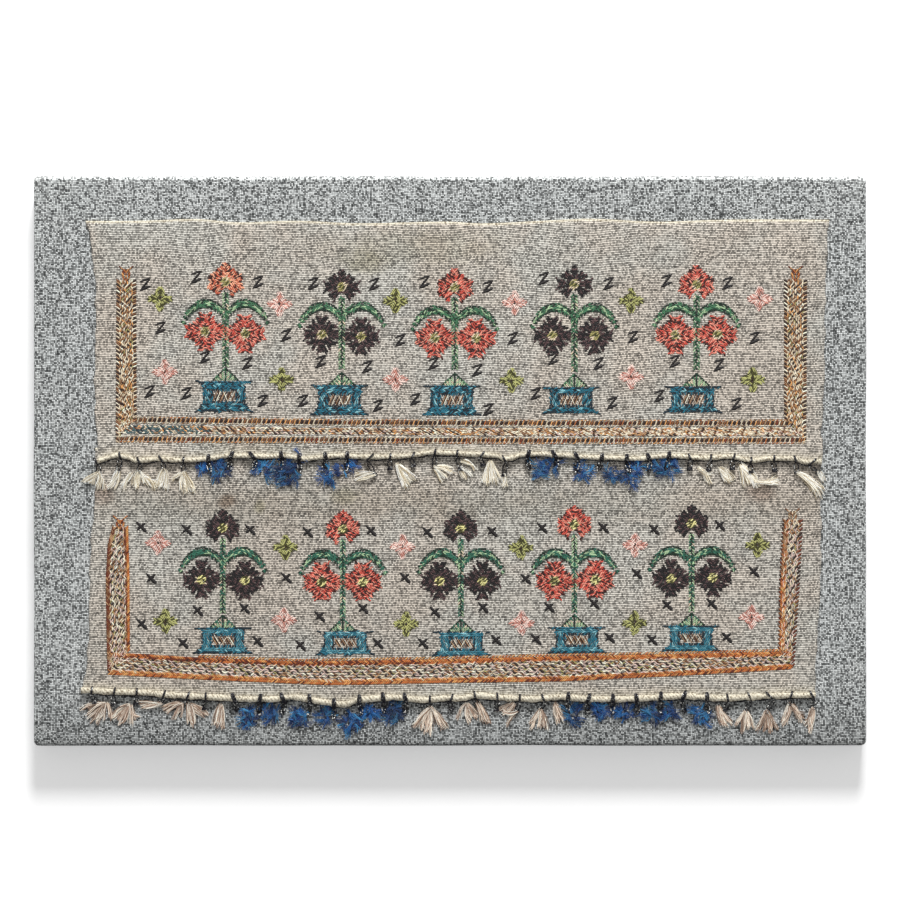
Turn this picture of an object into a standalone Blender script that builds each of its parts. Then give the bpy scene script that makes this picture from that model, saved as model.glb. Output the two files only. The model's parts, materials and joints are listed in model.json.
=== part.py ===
"""Two embroidered towel ends sewn to a linen-covered mounting board, lying on its back.

+X runs to the right along the panel, +Y up the picture and +Z out of the embroidered face. The
origin is on the surface that the panel lies on, under the middle of the board. Metres.
"""

import math
from typing import NamedTuple

import bmesh
import bpy
from mathutils import Vector

MM = 0.001

# The mounting board and the linen stretched over it
PANEL_WIDTH = 0.500
PANEL_HEIGHT = 0.342
PANEL_DEPTH = 0.020
LINEN_THICK = 1.0 * MM
LINEN_TURN = 22 * MM  # how far the linen is turned on to the back
LINEN_CORNER = 2.5 * MM  # outer radius of the linen where it goes round an edge
BOARD_CORNER = 1.5 * MM
CORNER_STEPS = 3
GAP = 0.3 * MM  # between pieces that touch on the real panel

# The towel ends
CLOTH_THICK = 1.0 * MM
CLOTH_COLUMNS = 32
UPPER_HEM_RADIUS = 1.4 * MM
LOWER_HEM_RADIUS = 1.7 * MM
TUCK_TOP = 9 * MM  # the lower end's hidden top edge, above the middle of the panel
STEP_LENGTH = 8 * MM  # over which the upper end climbs on to the lower one
RIPPLE_HEIGHT = 0.5 * MM
RIPPLE_LENGTH = 46 * MM
HEM_SPACING = 11 * MM
HEM_BEVEL = 1  # a six-sided tube

# The tassels
THREAD_RADIUS = 0.6 * MM
LOOP_START = math.radians(20)  # above the level of the hem's middle, on the cloth's side
LOOP_POINTS = 4
LOOP_SPREAD = 1.12  # keeps the straight runs of a loop clear of the hem
STRIP_RADIUS = 0.6 * MM
STRIP_OVERHANG = 3 * MM
HEAD_RADIUS = 1.2 * MM
HEAD_WIDTH = 5.6 * MM
LOCK_ROOT = 1.3  # times a loop thread's radius
LOCK_TIP = 0.7
LOCKS = 4
LOCK_PITCH = 1.45 * MM  # between the roots of neighbouring locks
LOCK_FAN = math.radians(11)  # between neighbouring locks of a tassel
CREAM_DROP = 5.2 * MM  # from the hem's edge to the tassel's head
BLUE_DROP = 4.2 * MM
CREAM_LOCK = 9.0 * MM
BLUE_LOCK = 8.0 * MM


class Section(NamedTuple):
    """Where a towel end's top edge and its hem's middle lie, at one place across it, in mm."""

    across: float
    top: float
    hem: float


class Row(NamedTuple):
    """Where the two selvedges lie, at one height up the picture, in mm."""

    height: float
    left: float
    right: float


class TasselGroup(NamedTuple):
    """Tassels of one colour, evenly spaced from first to last, with the way each leans, in degrees."""

    colour: str
    first: float
    last: float
    leans: tuple


UPPER_SECTIONS = (
    Section(-216, 144.4, 1.0),
    Section(-199, 143.7, 4.3),
    Section(-187, 143.6, 1.5),
    Section(-172, 145.1, 1.3),
    Section(-153, 145.8, 0.0),
    Section(-136, 145.0, 3.1),
    Section(-110, 144.3, 3.4),
    Section(-85, 144.7, 1.1),
    Section(-66, 144.0, 3.1),
    Section(-44, 143.3, 2.6),
    Section(-27, 143.4, 2.9),
    Section(-11, 143.5, 5.3),
    Section(12, 143.5, 4.3),
    Section(32, 143.5, 1.7),
    Section(45, 143.7, 3.1),
    Section(72, 144.7, 3.0),
    Section(95, 145.2, 2.9),
    Section(115, 144.9, 1.1),
    Section(131, 144.2, 2.6),
    Section(152, 144.2, 1.4),
    Section(168, 144.4, 3.1),
    Section(178, 144.7, 0.8),
    Section(200, 145.0, 1.1),
    Section(226, 144.6, -0.8),
)
UPPER_ROWS = (
    Row(145.0, -217.3, 226.2),
    Row(131.0, -215.2, 226.0),
    Row(112.0, -213.0, 225.9),
    Row(92.0, -212.4, 225.5),
    Row(70.0, -212.1, 224.8),
    Row(48.0, -212.8, 224.6),
    Row(31.0, -213.2, 224.0),
    Row(18.2, -212.4, 222.9),
    Row(14.0, -212.1, 222.9),
    Row(9.9, -211.5, 223.0),
    Row(1.0, -211.5, 223.3),
)
LOWER_SECTIONS = (
    Section(-221, 9.0, -136.4),
    Section(-200, 9.0, -138.0),
    Section(-180, 9.0, -138.9),
    Section(-160, 9.0, -140.6),
    Section(-138, 9.0, -141.5),
    Section(-116, 9.0, -141.2),
    Section(-99, 9.0, -142.3),
    Section(-82, 9.0, -143.5),
    Section(-64, 9.0, -145.6),
    Section(-47, 9.0, -143.1),
    Section(-25, 9.0, -141.6),
    Section(-13, 9.0, -142.3),
    Section(10, 9.0, -141.2),
    Section(27, 9.0, -140.6),
    Section(50, 9.0, -142.3),
    Section(67, 9.0, -141.2),
    Section(84, 9.0, -140.7),
    Section(114, 9.0, -140.7),
    Section(138, 9.0, -138.8),
    Section(163, 9.0, -140.6),
    Section(188, 9.0, -140.6),
    Section(206, 9.0, -140.0),
    Section(223, 9.0, -142.0),
)
LOWER_ROWS = (
    Row(9.0, -212.0, 223.0),
    Row(-10.0, -212.4, 222.6),
    Row(-32.0, -213.6, 222.6),
    Row(-54.0, -215.6, 222.4),
    Row(-76.0, -216.0, 222.2),
    Row(-98.0, -216.6, 220.6),
    Row(-118.0, -217.6, 219.2),
    Row(-131.0, -219.6, 218.8),
    Row(-140.0, -221.2, 219.0),
)
UPPER_GROUPS = (
    TasselGroup("cream", -208.7, -159.9, (-25, -18, -22, -6, 18)),
    TasselGroup("blue", -145.0, -61.6, (22, -24, 24, 4, 12, 8, -26)),
    TasselGroup("cream", -47.8, 31.8, (-28, 26, 2, 24, 14, 12, 4)),
    TasselGroup("blue", 47.0, 130.4, (18, 10, 26, 16, 8, 24, -20)),
    TasselGroup("cream", 144.0, 214.8, (28, 26, 24, 22, -14, 28, 26)),
)
LOWER_GROUPS = (
    TasselGroup("cream", -214.6, -129.8, (6, -20, -10, 24, 14, 16, 0)),
    TasselGroup("blue", -114.5, -26.6, (-16, -18, 20, -8, -6, 22, 10)),
    TasselGroup("cream", -12.2, 53.9, (-4, 18, -16, 26, -12, 12)),
    TasselGroup("blue", 69.9, 153.8, (-20, 14, 18, -12, -16, 20, 10)),
    TasselGroup("cream", 165.5, 216.8, (-14, 14, 10, -20, 6)),
)

# Colours and finishes seen in the photo
LINEN_COLOUR = (0.37, 0.40, 0.41, 1)
BOARD_COLOUR = (0.62, 0.50, 0.36, 1)
TOWEL_COLOUR = (0.47, 0.42, 0.36, 1)
CREAM_COLOUR = (0.72, 0.64, 0.52, 1)
BLUE_COLOUR = (0.02, 0.10, 0.27, 1)
CLOTH_ROUGHNESS = 0.9
SILK_ROUGHNESS = 0.5
BOARD_ROUGHNESS = 0.7


def clear_scene():
    for old in list(bpy.data.objects):
        bpy.data.objects.remove(old, do_unlink=True)


def new_collection(name):
    made = bpy.data.collections.new(name)
    bpy.context.scene.collection.children.link(made)
    return made


def new_material(name, colour, roughness):
    made = bpy.data.materials.new(name)
    made.use_nodes = True
    shader = made.node_tree.nodes["Principled BSDF"]
    shader.inputs["Base Color"].default_value = colour
    shader.inputs["Roughness"].default_value = roughness
    shader.inputs["Metallic"].default_value = 0.0
    return made


def object_from_mesh(name, mesh, collection, material=None):
    made = bpy.data.objects.new(name, mesh)
    collection.objects.link(made)
    if material:
        mesh.materials.clear()
        mesh.materials.append(material)
    return made


def object_from_bmesh(name, shape, collection, material=None):
    mesh = bpy.data.meshes.new(name)
    shape.to_mesh(mesh)
    shape.free()
    return object_from_mesh(name, mesh, collection, material)


def hide_helper(helper):
    helper.hide_render = True
    helper.display_type = "WIRE"


def rounded_box(width, height, depth, radius):
    """A box with every edge rounded, centred on the origin."""
    shape = bmesh.new()
    bmesh.ops.create_cube(shape, size=1.0)
    bmesh.ops.scale(shape, verts=shape.verts, vec=(width, height, depth))
    bmesh.ops.bevel(
        shape, geom=shape.edges[:], offset=radius, segments=CORNER_STEPS, profile=0.5, affect="EDGES"
    )
    return shape


def along(rows, column, place):
    """A column's value in metres at a place along the rows' first column, on a smooth curve."""
    keys = [row[0] for row in rows]
    values = [row[column] for row in rows]
    if place <= keys[0]:
        return values[0] * MM
    if place >= keys[-1]:
        return values[-1] * MM
    i = max(k for k in range(len(keys) - 1) if keys[k] <= place)
    share = (place - keys[i]) / (keys[i + 1] - keys[i])
    eased = share * share * (3 - 2 * share)
    return (values[i] + (values[i + 1] - values[i]) * eased) * MM


def smooth_step(value):
    value = min(1.0, max(0.0, value))
    return value * value * (3 - 2 * value)


class TowelEnd:
    """One towel end's outline and the height that it lies at."""

    def __init__(self, name, sections, rows, groups, hem_radius, lies_over):
        self.name = name
        self.sections = sections
        self.rows = rows
        self.groups = groups
        self.hem_radius = hem_radius
        self.lies_over = lies_over

    def hem_stations(self):
        """Places across the hem, from selvedge to selvedge."""
        left = self.rows[-1].left * MM
        right = self.rows[-1].right * MM
        count = round((right - left) / HEM_SPACING)
        return [left + (right - left) * i / count for i in range(count + 1)]

    def hem_line(self, x):
        """Height up the picture of the hem's middle, on straight runs between the hem's stations."""
        stations = self.hem_stations()
        pitch = stations[1] - stations[0]
        i = min(len(stations) - 2, max(0, int((x - stations[0]) / pitch)))
        share = (x - stations[i]) / pitch
        first = along(self.sections, 2, stations[i] / MM)
        second = along(self.sections, 2, stations[i + 1] / MM)
        return first + (second - first) * share

    def underside(self, y):
        """Height of the cloth's underside over the surface that the panel lies on."""
        on_linen = PANEL_DEPTH + GAP
        if not self.lies_over:
            return on_linen
        climbed = smooth_step((TUCK_TOP + GAP * 3 + STEP_LENGTH - y) / STEP_LENGTH)
        return on_linen + climbed * (CLOTH_THICK + GAP)

    def lying_height(self):
        """Height of what the hem and the tassels lie on."""
        return self.underside(self.hem_line(0))

    def surface_point(self, across, row):
        """A point of the cloth's underside, at a share across it, on one of its rows."""
        place = self.rows[row]
        x = (place.left + (place.right - place.left) * across) * MM
        y = place.height * MM
        if row == 0:
            y = along(self.sections, 1, x / MM)
        if row == len(self.rows) - 1:
            y = self.hem_line(x)
        down = row / (len(self.rows) - 1)
        wave = 0.5 - 0.5 * math.cos(2 * math.pi * x / RIPPLE_LENGTH)
        return Vector((x, y, self.underside(y) + RIPPLE_HEIGHT * wave * down**3))


def poly_curve(name, runs, collection, bevel=0, radius=None, profile=None):
    """A curve object with a straight-sided tube for each run of (point, radius factor)."""
    curve = bpy.data.curves.new(name, "CURVE")
    curve.dimensions = "3D"
    curve.use_fill_caps = True
    curve.bevel_resolution = bevel
    if profile:
        curve.bevel_mode = "OBJECT"
        curve.bevel_object = profile
    else:
        curve.bevel_depth = radius
    for run in runs:
        spline = curve.splines.new("POLY")
        spline.points.add(len(run) - 1)
        for point, (place, factor) in zip(spline.points, run):
            point.co = (*place, 1.0)
            point.radius = factor
    made = bpy.data.objects.new(name, curve)
    collection.objects.link(made)
    return made


def mesh_from_curve(curve):
    """The curve's tubes as a welded mesh. The curve object is removed."""
    bpy.context.view_layer.update()
    graph = bpy.context.evaluated_depsgraph_get()
    mesh = bpy.data.meshes.new_from_object(curve.evaluated_get(graph))
    shape = bmesh.new()
    shape.from_mesh(mesh)
    bmesh.ops.remove_doubles(shape, verts=shape.verts, dist=0.001 * MM)
    bmesh.ops.recalc_face_normals(shape, faces=shape.faces)
    shape.to_mesh(mesh)
    shape.free()
    bpy.data.objects.remove(curve, do_unlink=True)
    return mesh


def thread_section(collection):
    """A three-sided section for the loops and the locks."""
    curve = bpy.data.curves.new("thread_section", "CURVE")
    curve.dimensions = "2D"
    spline = curve.splines.new("POLY")
    spline.points.add(2)
    for i, point in enumerate(spline.points):
        turn = math.radians(90 + 120 * i)
        point.co = (THREAD_RADIUS * math.cos(turn), THREAD_RADIUS * math.sin(turn), 0, 1)
    spline.use_cyclic_u = True
    made = bpy.data.objects.new("thread_section", curve)
    collection.objects.link(made)
    hide_helper(made)
    return made


def make_board(parts, material):
    inset = 2 * (LINEN_THICK + GAP)
    shape = rounded_box(
        PANEL_WIDTH - inset, PANEL_HEIGHT - inset, PANEL_DEPTH - inset, BOARD_CORNER
    )
    board = object_from_bmesh("mount_board", shape, parts, material)
    board.location.z = PANEL_DEPTH / 2


def make_linen(parts, material):
    """The linen goes over the front and the sides, and is turned on to the back all round."""
    shape = rounded_box(PANEL_WIDTH, PANEL_HEIGHT, PANEL_DEPTH, LINEN_CORNER)
    back = min(shape.faces, key=lambda face: face.calc_center_median().z)
    bmesh.ops.inset_region(shape, faces=[back], thickness=LINEN_TURN - LINEN_CORNER)
    bmesh.ops.delete(shape, geom=[back], context="FACES")
    linen = object_from_bmesh("linen_cover", shape, parts, material)
    linen.location.z = PANEL_DEPTH / 2
    wall = linen.modifiers.new("linen_thickness", "SOLIDIFY")
    wall.thickness = LINEN_THICK
    wall.offset = -1
    wall.use_even_offset = True


def make_towel_end(end, parts, helpers, material):
    """A flat cloth with its bottom edge rolled to the front into a hem."""
    spans = len(end.rows) - 1
    shape = bmesh.new()
    bmesh.ops.create_grid(shape, x_segments=CLOTH_COLUMNS, y_segments=spans, size=0.5)
    for vert in shape.verts:
        vert.co = end.surface_point(vert.co.x + 0.5, round((0.5 - vert.co.y) * spans))
    cloth = object_from_bmesh(end.name, shape, parts, material)
    wall = cloth.modifiers.new("cloth_thickness", "SOLIDIFY")
    wall.thickness = CLOTH_THICK
    wall.offset = 1

    middle = end.lying_height() + end.hem_radius
    run = [(Vector((x, end.hem_line(x), middle)), 1.0) for x in end.hem_stations()]
    roll_curve = poly_curve("hem_curve", [run], helpers, HEM_BEVEL, end.hem_radius)
    join_to(cloth, end.name + "_hem_roll", mesh_from_curve(roll_curve), helpers)


def loop_run(end, x, head):
    """A thread that comes over the front of the hem, crosses the strip and ends in a tassel's head."""
    middle = Vector((x, end.hem_line(x), end.lying_height() + end.hem_radius))
    run = []
    for i in range(LOOP_POINTS):
        turn = LOOP_START + (math.pi - LOOP_START) * i / (LOOP_POINTS - 1)
        run.append((middle + Vector((0, math.cos(turn), math.sin(turn))) * loop_reach(end), 1.0))
    run.append((head, 1.0))
    return run


def loop_reach(end):
    return (end.hem_radius + GAP + THREAD_RADIUS) * LOOP_SPREAD


def downward(turn):
    """The way down the picture, turned in its plane."""
    return Vector((math.sin(turn), -math.cos(turn), 0))


def across_way(turn):
    """The way to the right, turned in the picture's plane."""
    return Vector((math.cos(turn), math.sin(turn), 0))


def lock_runs(head, lean, length, floor):
    """The locks of a tassel start side by side in its head and fan out."""
    runs = []
    sideways = across_way(lean)
    for i in range(LOCKS):
        place = i - (LOCKS - 1) / 2
        root = head + sideways * LOCK_PITCH * place
        tip = root + downward(lean + LOCK_FAN * place) * length
        tip.z = floor + THREAD_RADIUS * LOCK_TIP + GAP
        runs.append([(root, LOCK_ROOT), (tip, LOCK_TIP)])
    return runs


def make_tassels(end, number, group, parts, helpers, profile, material):
    """A group of tassels, fused to the thread that runs just below the hem."""
    is_cream = group.colour == "cream"
    drop = CREAM_DROP if is_cream else BLUE_DROP
    length = CREAM_LOCK if is_cream else BLUE_LOCK
    floor = end.lying_height()
    spaces = len(group.leans) - 1
    pitch = (group.last - group.first) / spaces

    strip_ends = (group.first * MM - STRIP_OVERHANG, group.last * MM + STRIP_OVERHANG)
    inner = [x for x in end.hem_stations() if strip_ends[0] < x < strip_ends[1]]
    strip = [
        (Vector((x, end.hem_line(x) - loop_reach(end), floor + end.hem_radius)), 1.0)
        for x in (strip_ends[0], *inner, strip_ends[1])
    ]
    name = f"{end.name.split('_')[0]}_tassels_{number}_{group.colour}"
    strip_mesh = mesh_from_curve(poly_curve(name, [strip], parts, 0, STRIP_RADIUS))
    tassels = object_from_mesh(name, strip_mesh, parts, material)

    loops = []
    heads = []
    locks = []
    for i, lean_degrees in enumerate(group.leans):
        lean = math.radians(lean_degrees)
        x = (group.first + pitch * i) * MM
        head = Vector((x, end.hem_line(x) - end.hem_radius - drop, floor + HEAD_RADIUS))
        half = across_way(lean) * HEAD_WIDTH / 2
        loops.append(loop_run(end, x, head))
        heads.append([(head - half, 1.0), (head + half, 1.0)])
        locks.extend(lock_runs(head, lean, length, floor))
    for label, runs, radius, section in (
        ("loops", loops, None, profile),
        ("heads", heads, HEAD_RADIUS, None),
        ("locks", locks, None, profile),
    ):
        mesh = mesh_from_curve(poly_curve(label, runs, helpers, 0, radius, section))
        join_to(tassels, f"{name}_{label}", mesh, helpers)


def join_to(target, name, mesh, helpers):
    """Fuses the shapes of a mesh, which may cross each other, to an object."""
    helper = object_from_mesh(name, mesh, helpers)
    hide_helper(helper)
    join = target.modifiers.new(name, "BOOLEAN")
    join.operation = "UNION"
    join.object = helper
    join.use_self = True


def main():
    clear_scene()
    parts = new_collection("embroidered_towel_ends_on_board")
    helpers = new_collection("cutters")
    linen = new_material("ground_linen", LINEN_COLOUR, CLOTH_ROUGHNESS)
    wood = new_material("board", BOARD_COLOUR, BOARD_ROUGHNESS)
    towel = new_material("towel_cloth", TOWEL_COLOUR, CLOTH_ROUGHNESS)
    silks = {
        "cream": new_material("cream_silk", CREAM_COLOUR, SILK_ROUGHNESS),
        "blue": new_material("blue_silk", BLUE_COLOUR, SILK_ROUGHNESS),
    }
    ends = (
        TowelEnd(
            "upper_towel_end", UPPER_SECTIONS, UPPER_ROWS, UPPER_GROUPS, UPPER_HEM_RADIUS, True
        ),
        TowelEnd(
            "lower_towel_end", LOWER_SECTIONS, LOWER_ROWS, LOWER_GROUPS, LOWER_HEM_RADIUS, False
        ),
    )
    make_board(parts, wood)
    make_linen(parts, linen)
    profile = thread_section(helpers)
    for end in ends:
        make_towel_end(end, parts, helpers, towel)
        for number, group in enumerate(end.groups, 1):
            make_tassels(end, number, group, parts, helpers, profile, silks[group.colour])
    bpy.data.objects.remove(profile, do_unlink=True)


main()
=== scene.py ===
# %% [markdown]
# # Two embroidered towel ends on a linen-covered board
# An old hand towel had rich needlework at both ends and nothing between them. Here the two ends
# are cut off, laid one above the other on a board covered in coarse linen, and sewn down. The board
# lies on its back and the camera looks straight down on it, as it does in a museum's photo studio.
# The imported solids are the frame: every piece made below sits where they say.

# %% The frame
import json
import math
from typing import NamedTuple

import bmesh
import bpy
import numpy as np
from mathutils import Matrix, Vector

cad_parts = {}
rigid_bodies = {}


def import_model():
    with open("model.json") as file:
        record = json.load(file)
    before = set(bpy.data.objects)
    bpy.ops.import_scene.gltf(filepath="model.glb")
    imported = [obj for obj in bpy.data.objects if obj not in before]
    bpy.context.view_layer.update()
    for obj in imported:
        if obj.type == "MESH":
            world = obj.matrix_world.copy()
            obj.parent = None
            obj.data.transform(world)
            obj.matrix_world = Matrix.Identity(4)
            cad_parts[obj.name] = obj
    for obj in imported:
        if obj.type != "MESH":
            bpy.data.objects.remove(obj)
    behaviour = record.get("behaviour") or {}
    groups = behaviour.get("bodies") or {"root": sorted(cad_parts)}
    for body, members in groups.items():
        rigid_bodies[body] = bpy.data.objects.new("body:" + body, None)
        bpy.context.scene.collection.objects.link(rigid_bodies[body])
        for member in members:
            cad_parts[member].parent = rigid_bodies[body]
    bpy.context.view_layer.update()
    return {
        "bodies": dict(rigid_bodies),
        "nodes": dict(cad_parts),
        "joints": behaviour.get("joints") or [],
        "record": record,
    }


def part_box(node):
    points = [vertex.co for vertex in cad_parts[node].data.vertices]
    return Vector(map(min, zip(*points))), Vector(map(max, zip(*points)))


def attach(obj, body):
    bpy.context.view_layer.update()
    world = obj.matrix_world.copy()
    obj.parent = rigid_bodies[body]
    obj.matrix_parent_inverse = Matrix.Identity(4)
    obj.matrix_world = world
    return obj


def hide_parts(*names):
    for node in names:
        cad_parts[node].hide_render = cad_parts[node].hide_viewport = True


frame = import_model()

SCENE = bpy.context.scene
MM = 0.001

# %% [markdown]
# The photographer's camera stood about two metres over the panel, square to it, so one long lens
# over the middle of the frame is enough. One pixel of the photograph is 0.6 mm on the face.

# %% The camera
PIXEL = 0.6 * MM
FRAME_PIXELS = 900
FACE_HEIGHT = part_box("linen_cover")[1][2]
CAMERA_HEIGHT = 2.0
CAMERA_UP = 6.6 * MM  # the photograph is centred a little above the middle of the board

camera_data = bpy.data.cameras.new("studio_camera")
camera = bpy.data.objects.new("studio_camera", camera_data)
SCENE.collection.objects.link(camera)
camera_data.sensor_width = 36
camera_data.lens = camera_data.sensor_width * CAMERA_HEIGHT / (FRAME_PIXELS * PIXEL)
camera.location = (0, CAMERA_UP, FACE_HEIGHT + CAMERA_HEIGHT)
SCENE.camera = camera
print("lens, mm:", round(camera_data.lens, 1))

# %% [markdown]
# The light in the photograph comes from above the picture, low enough to brighten the board's top
# edge and to leave its lower edge dark, with a soft fill from everywhere. A wide lamp gives the
# soft-edged shadows that lie under the hems and the tassels.

# %% The studio
KEY_PLACE = (0.2, 2.6, 1.5)
KEY_SIZE = 0.8
KEY_POWER = 103
FILL_STRENGTH = 0.40
FLOOR_SIZE = 6
FLOOR_GLOW = 0.30  # the paper lies on a light table, which thins the shadow
FLOOR_COLOUR = (0.93, 0.93, 0.93, 1)
FLOOR_PALE = (0.96, 0.96, 0.96, 1)
WHITE = (1, 1, 1, 1)


def aim(thing, place, target):
    """Puts a lamp at a place, looking at a target."""
    thing.location = place
    thing.rotation_euler = (Vector(target) - Vector(place)).to_track_quat("-Z", "Y").to_euler()


key_data = bpy.data.lights.new("key_lamp", "AREA")
key_data.shape = "DISK"
key_data.size = KEY_SIZE
key_data.energy = KEY_POWER
key_lamp = bpy.data.objects.new("key_lamp", key_data)
SCENE.collection.objects.link(key_lamp)
aim(key_lamp, KEY_PLACE, (0, 0, FACE_HEIGHT))
SCENE.world = bpy.data.worlds.new("studio_air")
SCENE.world.use_nodes = True
air = SCENE.world.node_tree.nodes["Background"]
air.inputs["Color"].default_value = WHITE
air.inputs["Strength"].default_value = FILL_STRENGTH
SCENE.view_settings.view_transform = "Standard"

bpy.ops.mesh.primitive_plane_add(size=FLOOR_SIZE, location=(0, 0, 0))
floor = bpy.context.object
floor.name = "studio_floor"
print("key lamp:", KEY_POWER, "W, fill:", FILL_STRENGTH)

# %% [markdown]
# ## Writing patterns as sums
# A woven pattern is arithmetic: thread number, distance from the thread's middle, which thread is
# on top. The classes below let such sums be written as plain Python. A Socket stands for a value in
# a node tree, and an operator between sockets adds the Math node that does it. A Graph is a tree,
# and a Finish is the tree of a material.


# %% Node trees as expressions
class Socket:
    """A number, colour or vector inside a node tree."""

    def __init__(self, graph, socket):
        self.graph = graph
        self.socket = socket

    def math(self, operation, *others):
        return self.graph.math(operation, self, *others)

    def __add__(self, other):
        return self.math("ADD", other)

    __radd__ = __add__

    def __mul__(self, other):
        return self.math("MULTIPLY", other)

    __rmul__ = __mul__

    def __sub__(self, other):
        return self.math("SUBTRACT", other)

    def __rsub__(self, other):
        return self.graph.math("SUBTRACT", other, self)

    def __truediv__(self, other):
        return self.math("DIVIDE", other)

    def __gt__(self, other):
        return self.math("GREATER_THAN", other)

    def __abs__(self):
        return self.math("ABSOLUTE")


class Graph:
    """A node tree, and the one method that adds a node to it."""

    def __init__(self, tree):
        self.tree = tree

    def node(self, kind, settings=None, values=None, output=0):
        """Adds a node: its settings first, then its sockets' values or links."""
        made = self.tree.nodes.new(kind)
        for name, setting in (settings or {}).items():
            setattr(made, name, setting)
        for key, value in (values or {}).items():
            if isinstance(value, Socket):
                self.tree.links.new(value.socket, made.inputs[key])
            else:
                made.inputs[key].default_value = value
        return Socket(self, made.outputs[output])

    def math(self, operation, *values):
        return self.node("ShaderNodeMath", {"operation": operation}, dict(enumerate(values)))

    def parts(self, vector):
        """The three numbers of a vector."""
        split = self.node("ShaderNodeSeparateXYZ", values={0: vector})
        outputs = split.socket.node.outputs
        return [Socket(self, outputs[i]) for i in range(3)]

    def vector(self, x, y, z):
        return self.node("ShaderNodeCombineXYZ", values={0: x, 1: y, 2: z})

    def vectors(self, operation, first, second):
        """Vector maths. SCALE takes a number as its second value, the others a vector."""
        values = {0: first, "Scale" if operation == "SCALE" else 1: second}
        return self.node("ShaderNodeVectorMath", {"operation": operation}, values)

    def smooth(self, value, low, high):
        """0 below low, 1 above high and a soft step between."""
        settings = {"interpolation_type": "SMOOTHSTEP"}
        return self.node("ShaderNodeMapRange", settings, {"Value": value, 1: low, 2: high})

    def noise(self, vector, scale, detail=2.0, roughness=0.5):
        values = {"Vector": vector, "Scale": scale, "Detail": detail, "Roughness": roughness}
        return self.node("ShaderNodeTexNoise", {}, values)

    def chance(self, number, seed):
        """A random value from 0 to 1 for each whole number."""
        settings = {"noise_dimensions": "1D"}
        return self.node("ShaderNodeTexWhiteNoise", settings, {"W": number + seed})


class Finish(Graph):
    """A material while it is being made."""

    def __init__(self, name, roughness, sheen=0.0, glow=0.0):
        self.material = bpy.data.materials.new(name)
        self.material.use_nodes = True
        super().__init__(self.material.node_tree)
        self.shader = self.tree.nodes["Principled BSDF"]
        self.shader.inputs["Roughness"].default_value = roughness
        self.shader.inputs["Sheen Weight"].default_value = sheen
        self.shader.inputs["Emission Strength"].default_value = glow

    def mix(self, share, first, second, blend="MIX"):
        settings = {"data_type": "RGBA", "blend_type": blend, "clamp_factor": True}
        return self.node("ShaderNodeMix", settings, {0: share, 6: first, 7: second}, output=2)

    def shade(self, colour, brightness):
        """A colour made lighter or darker by a number."""
        return self.vectors("SCALE", colour, brightness)

    def place(self):
        return self.node("ShaderNodeTexCoord", output=3)

    def attribute(self, name, output=0):
        settings = {"attribute_type": "GEOMETRY", "attribute_name": name}
        return self.node("ShaderNodeAttribute", settings, output=output)

    def feed(self, name, value):
        self.tree.links.new(value.socket, self.shader.inputs[name])

    def relief(self, height, distance):
        bump = self.node("ShaderNodeBump", values={"Height": height, "Distance": distance})
        self.feed("Normal", bump)


SCREEN_GAMMA = 2.2


def rgb(red, green, blue):
    """A colour as a screen shows it, from 0 to 255, turned into the light that it reflects."""
    return tuple((c / 255) ** SCREEN_GAMMA for c in (red, green, blue)) + (1.0,)


print("shader helpers are ready")

# %% [markdown]
# The floor is plain and pale, with only a little mottling, so that nothing draws the eye from the
# cloth. It is clear when it is seen from below, so that a view from there shows the panel's back.

# %% Floor finish
floor_finish = Finish("studio_paper", roughness=0.9, glow=FLOOR_GLOW)
floor_grain = floor_finish.noise(floor_finish.place(), 30.0)
floor_colour = floor_finish.mix(floor_grain, FLOOR_COLOUR, FLOOR_PALE)
floor_finish.feed("Base Color", floor_colour)
floor_finish.shader.inputs["Emission Color"].default_value = WHITE
seen_from_below = floor_finish.node("ShaderNodeNewGeometry", output=6)
floor_finish.feed("Alpha", 1 - seen_from_below)
floor.data.materials.append(floor_finish.material)
print("made the floor's finish")

# %% [markdown]
# ## The ground linen
# The mount is covered in coarse plain-weave linen, grey-blue, with pale slubs where the yarn is
# thick. In plain weave a warp thread and a weft thread take turns on top, like the squares of a
# chessboard, so the product of two sine waves says which is on top and how far it bulges. Every
# thread then gets its own lightness, and noise along it gives the slubs. The sides of the board
# need the same weave, so the pattern takes z in place of x or y where the face points sideways.
# The padded edge that faces the lamp is painted lighter, a painted highlight. The one away from it,
# the top wall and the face towards the bottom edge are painted darker, painted shade. The dips
# between the threads are painted darker too, painted shade.

# %% Ground linen finish
LINEN_PITCH = 0.94 * MM
LINEN_DARK = rgb(30, 33, 34)
LINEN_PALE = rgb(247, 249, 247)
LINEN_TINT = (0.95, 0.98, 0.99, 1)


def weave(finish, u, v, pitch, seed):
    """(height, tone) of a plain weave at the flat place u, v in metres. The tone is about 0."""
    wander = (finish.noise(finish.vector(u, v, seed), 90.0) - 0.5) * 2.4
    across = u / pitch + wander
    along = v / pitch - wander
    crossing = (across * math.pi).math("SINE") * (along * math.pi).math("SINE")
    warp_on_top = crossing > 0
    warp = across.math("FLOOR")
    weft = along.math("FLOOR")
    warp_slub = finish.noise(finish.vector(warp * 7.3, v * 430, seed), 1.0, 3.0)
    weft_slub = finish.noise(finish.vector(u * 430, weft * 5.7, seed + 9.0), 1.0, 3.0)
    slub = warp_on_top * warp_slub + (1 - warp_on_top) * weft_slub - 0.5
    thread = warp_on_top * finish.chance(warp, seed) + (1 - warp_on_top) * finish.chance(weft, seed)
    crossing_light = finish.chance(warp * 57.0 + weft * 131.0, seed) - 0.5
    height = abs(crossing).math("POWER", 0.6)
    # The height term makes the dips between threads darker: painted shade.
    tone = crossing_light * 1.55 + slub * 0.8 + (thread - 0.5) * 0.2 + (height - 0.62) * 1.2
    return height, tone


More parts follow.
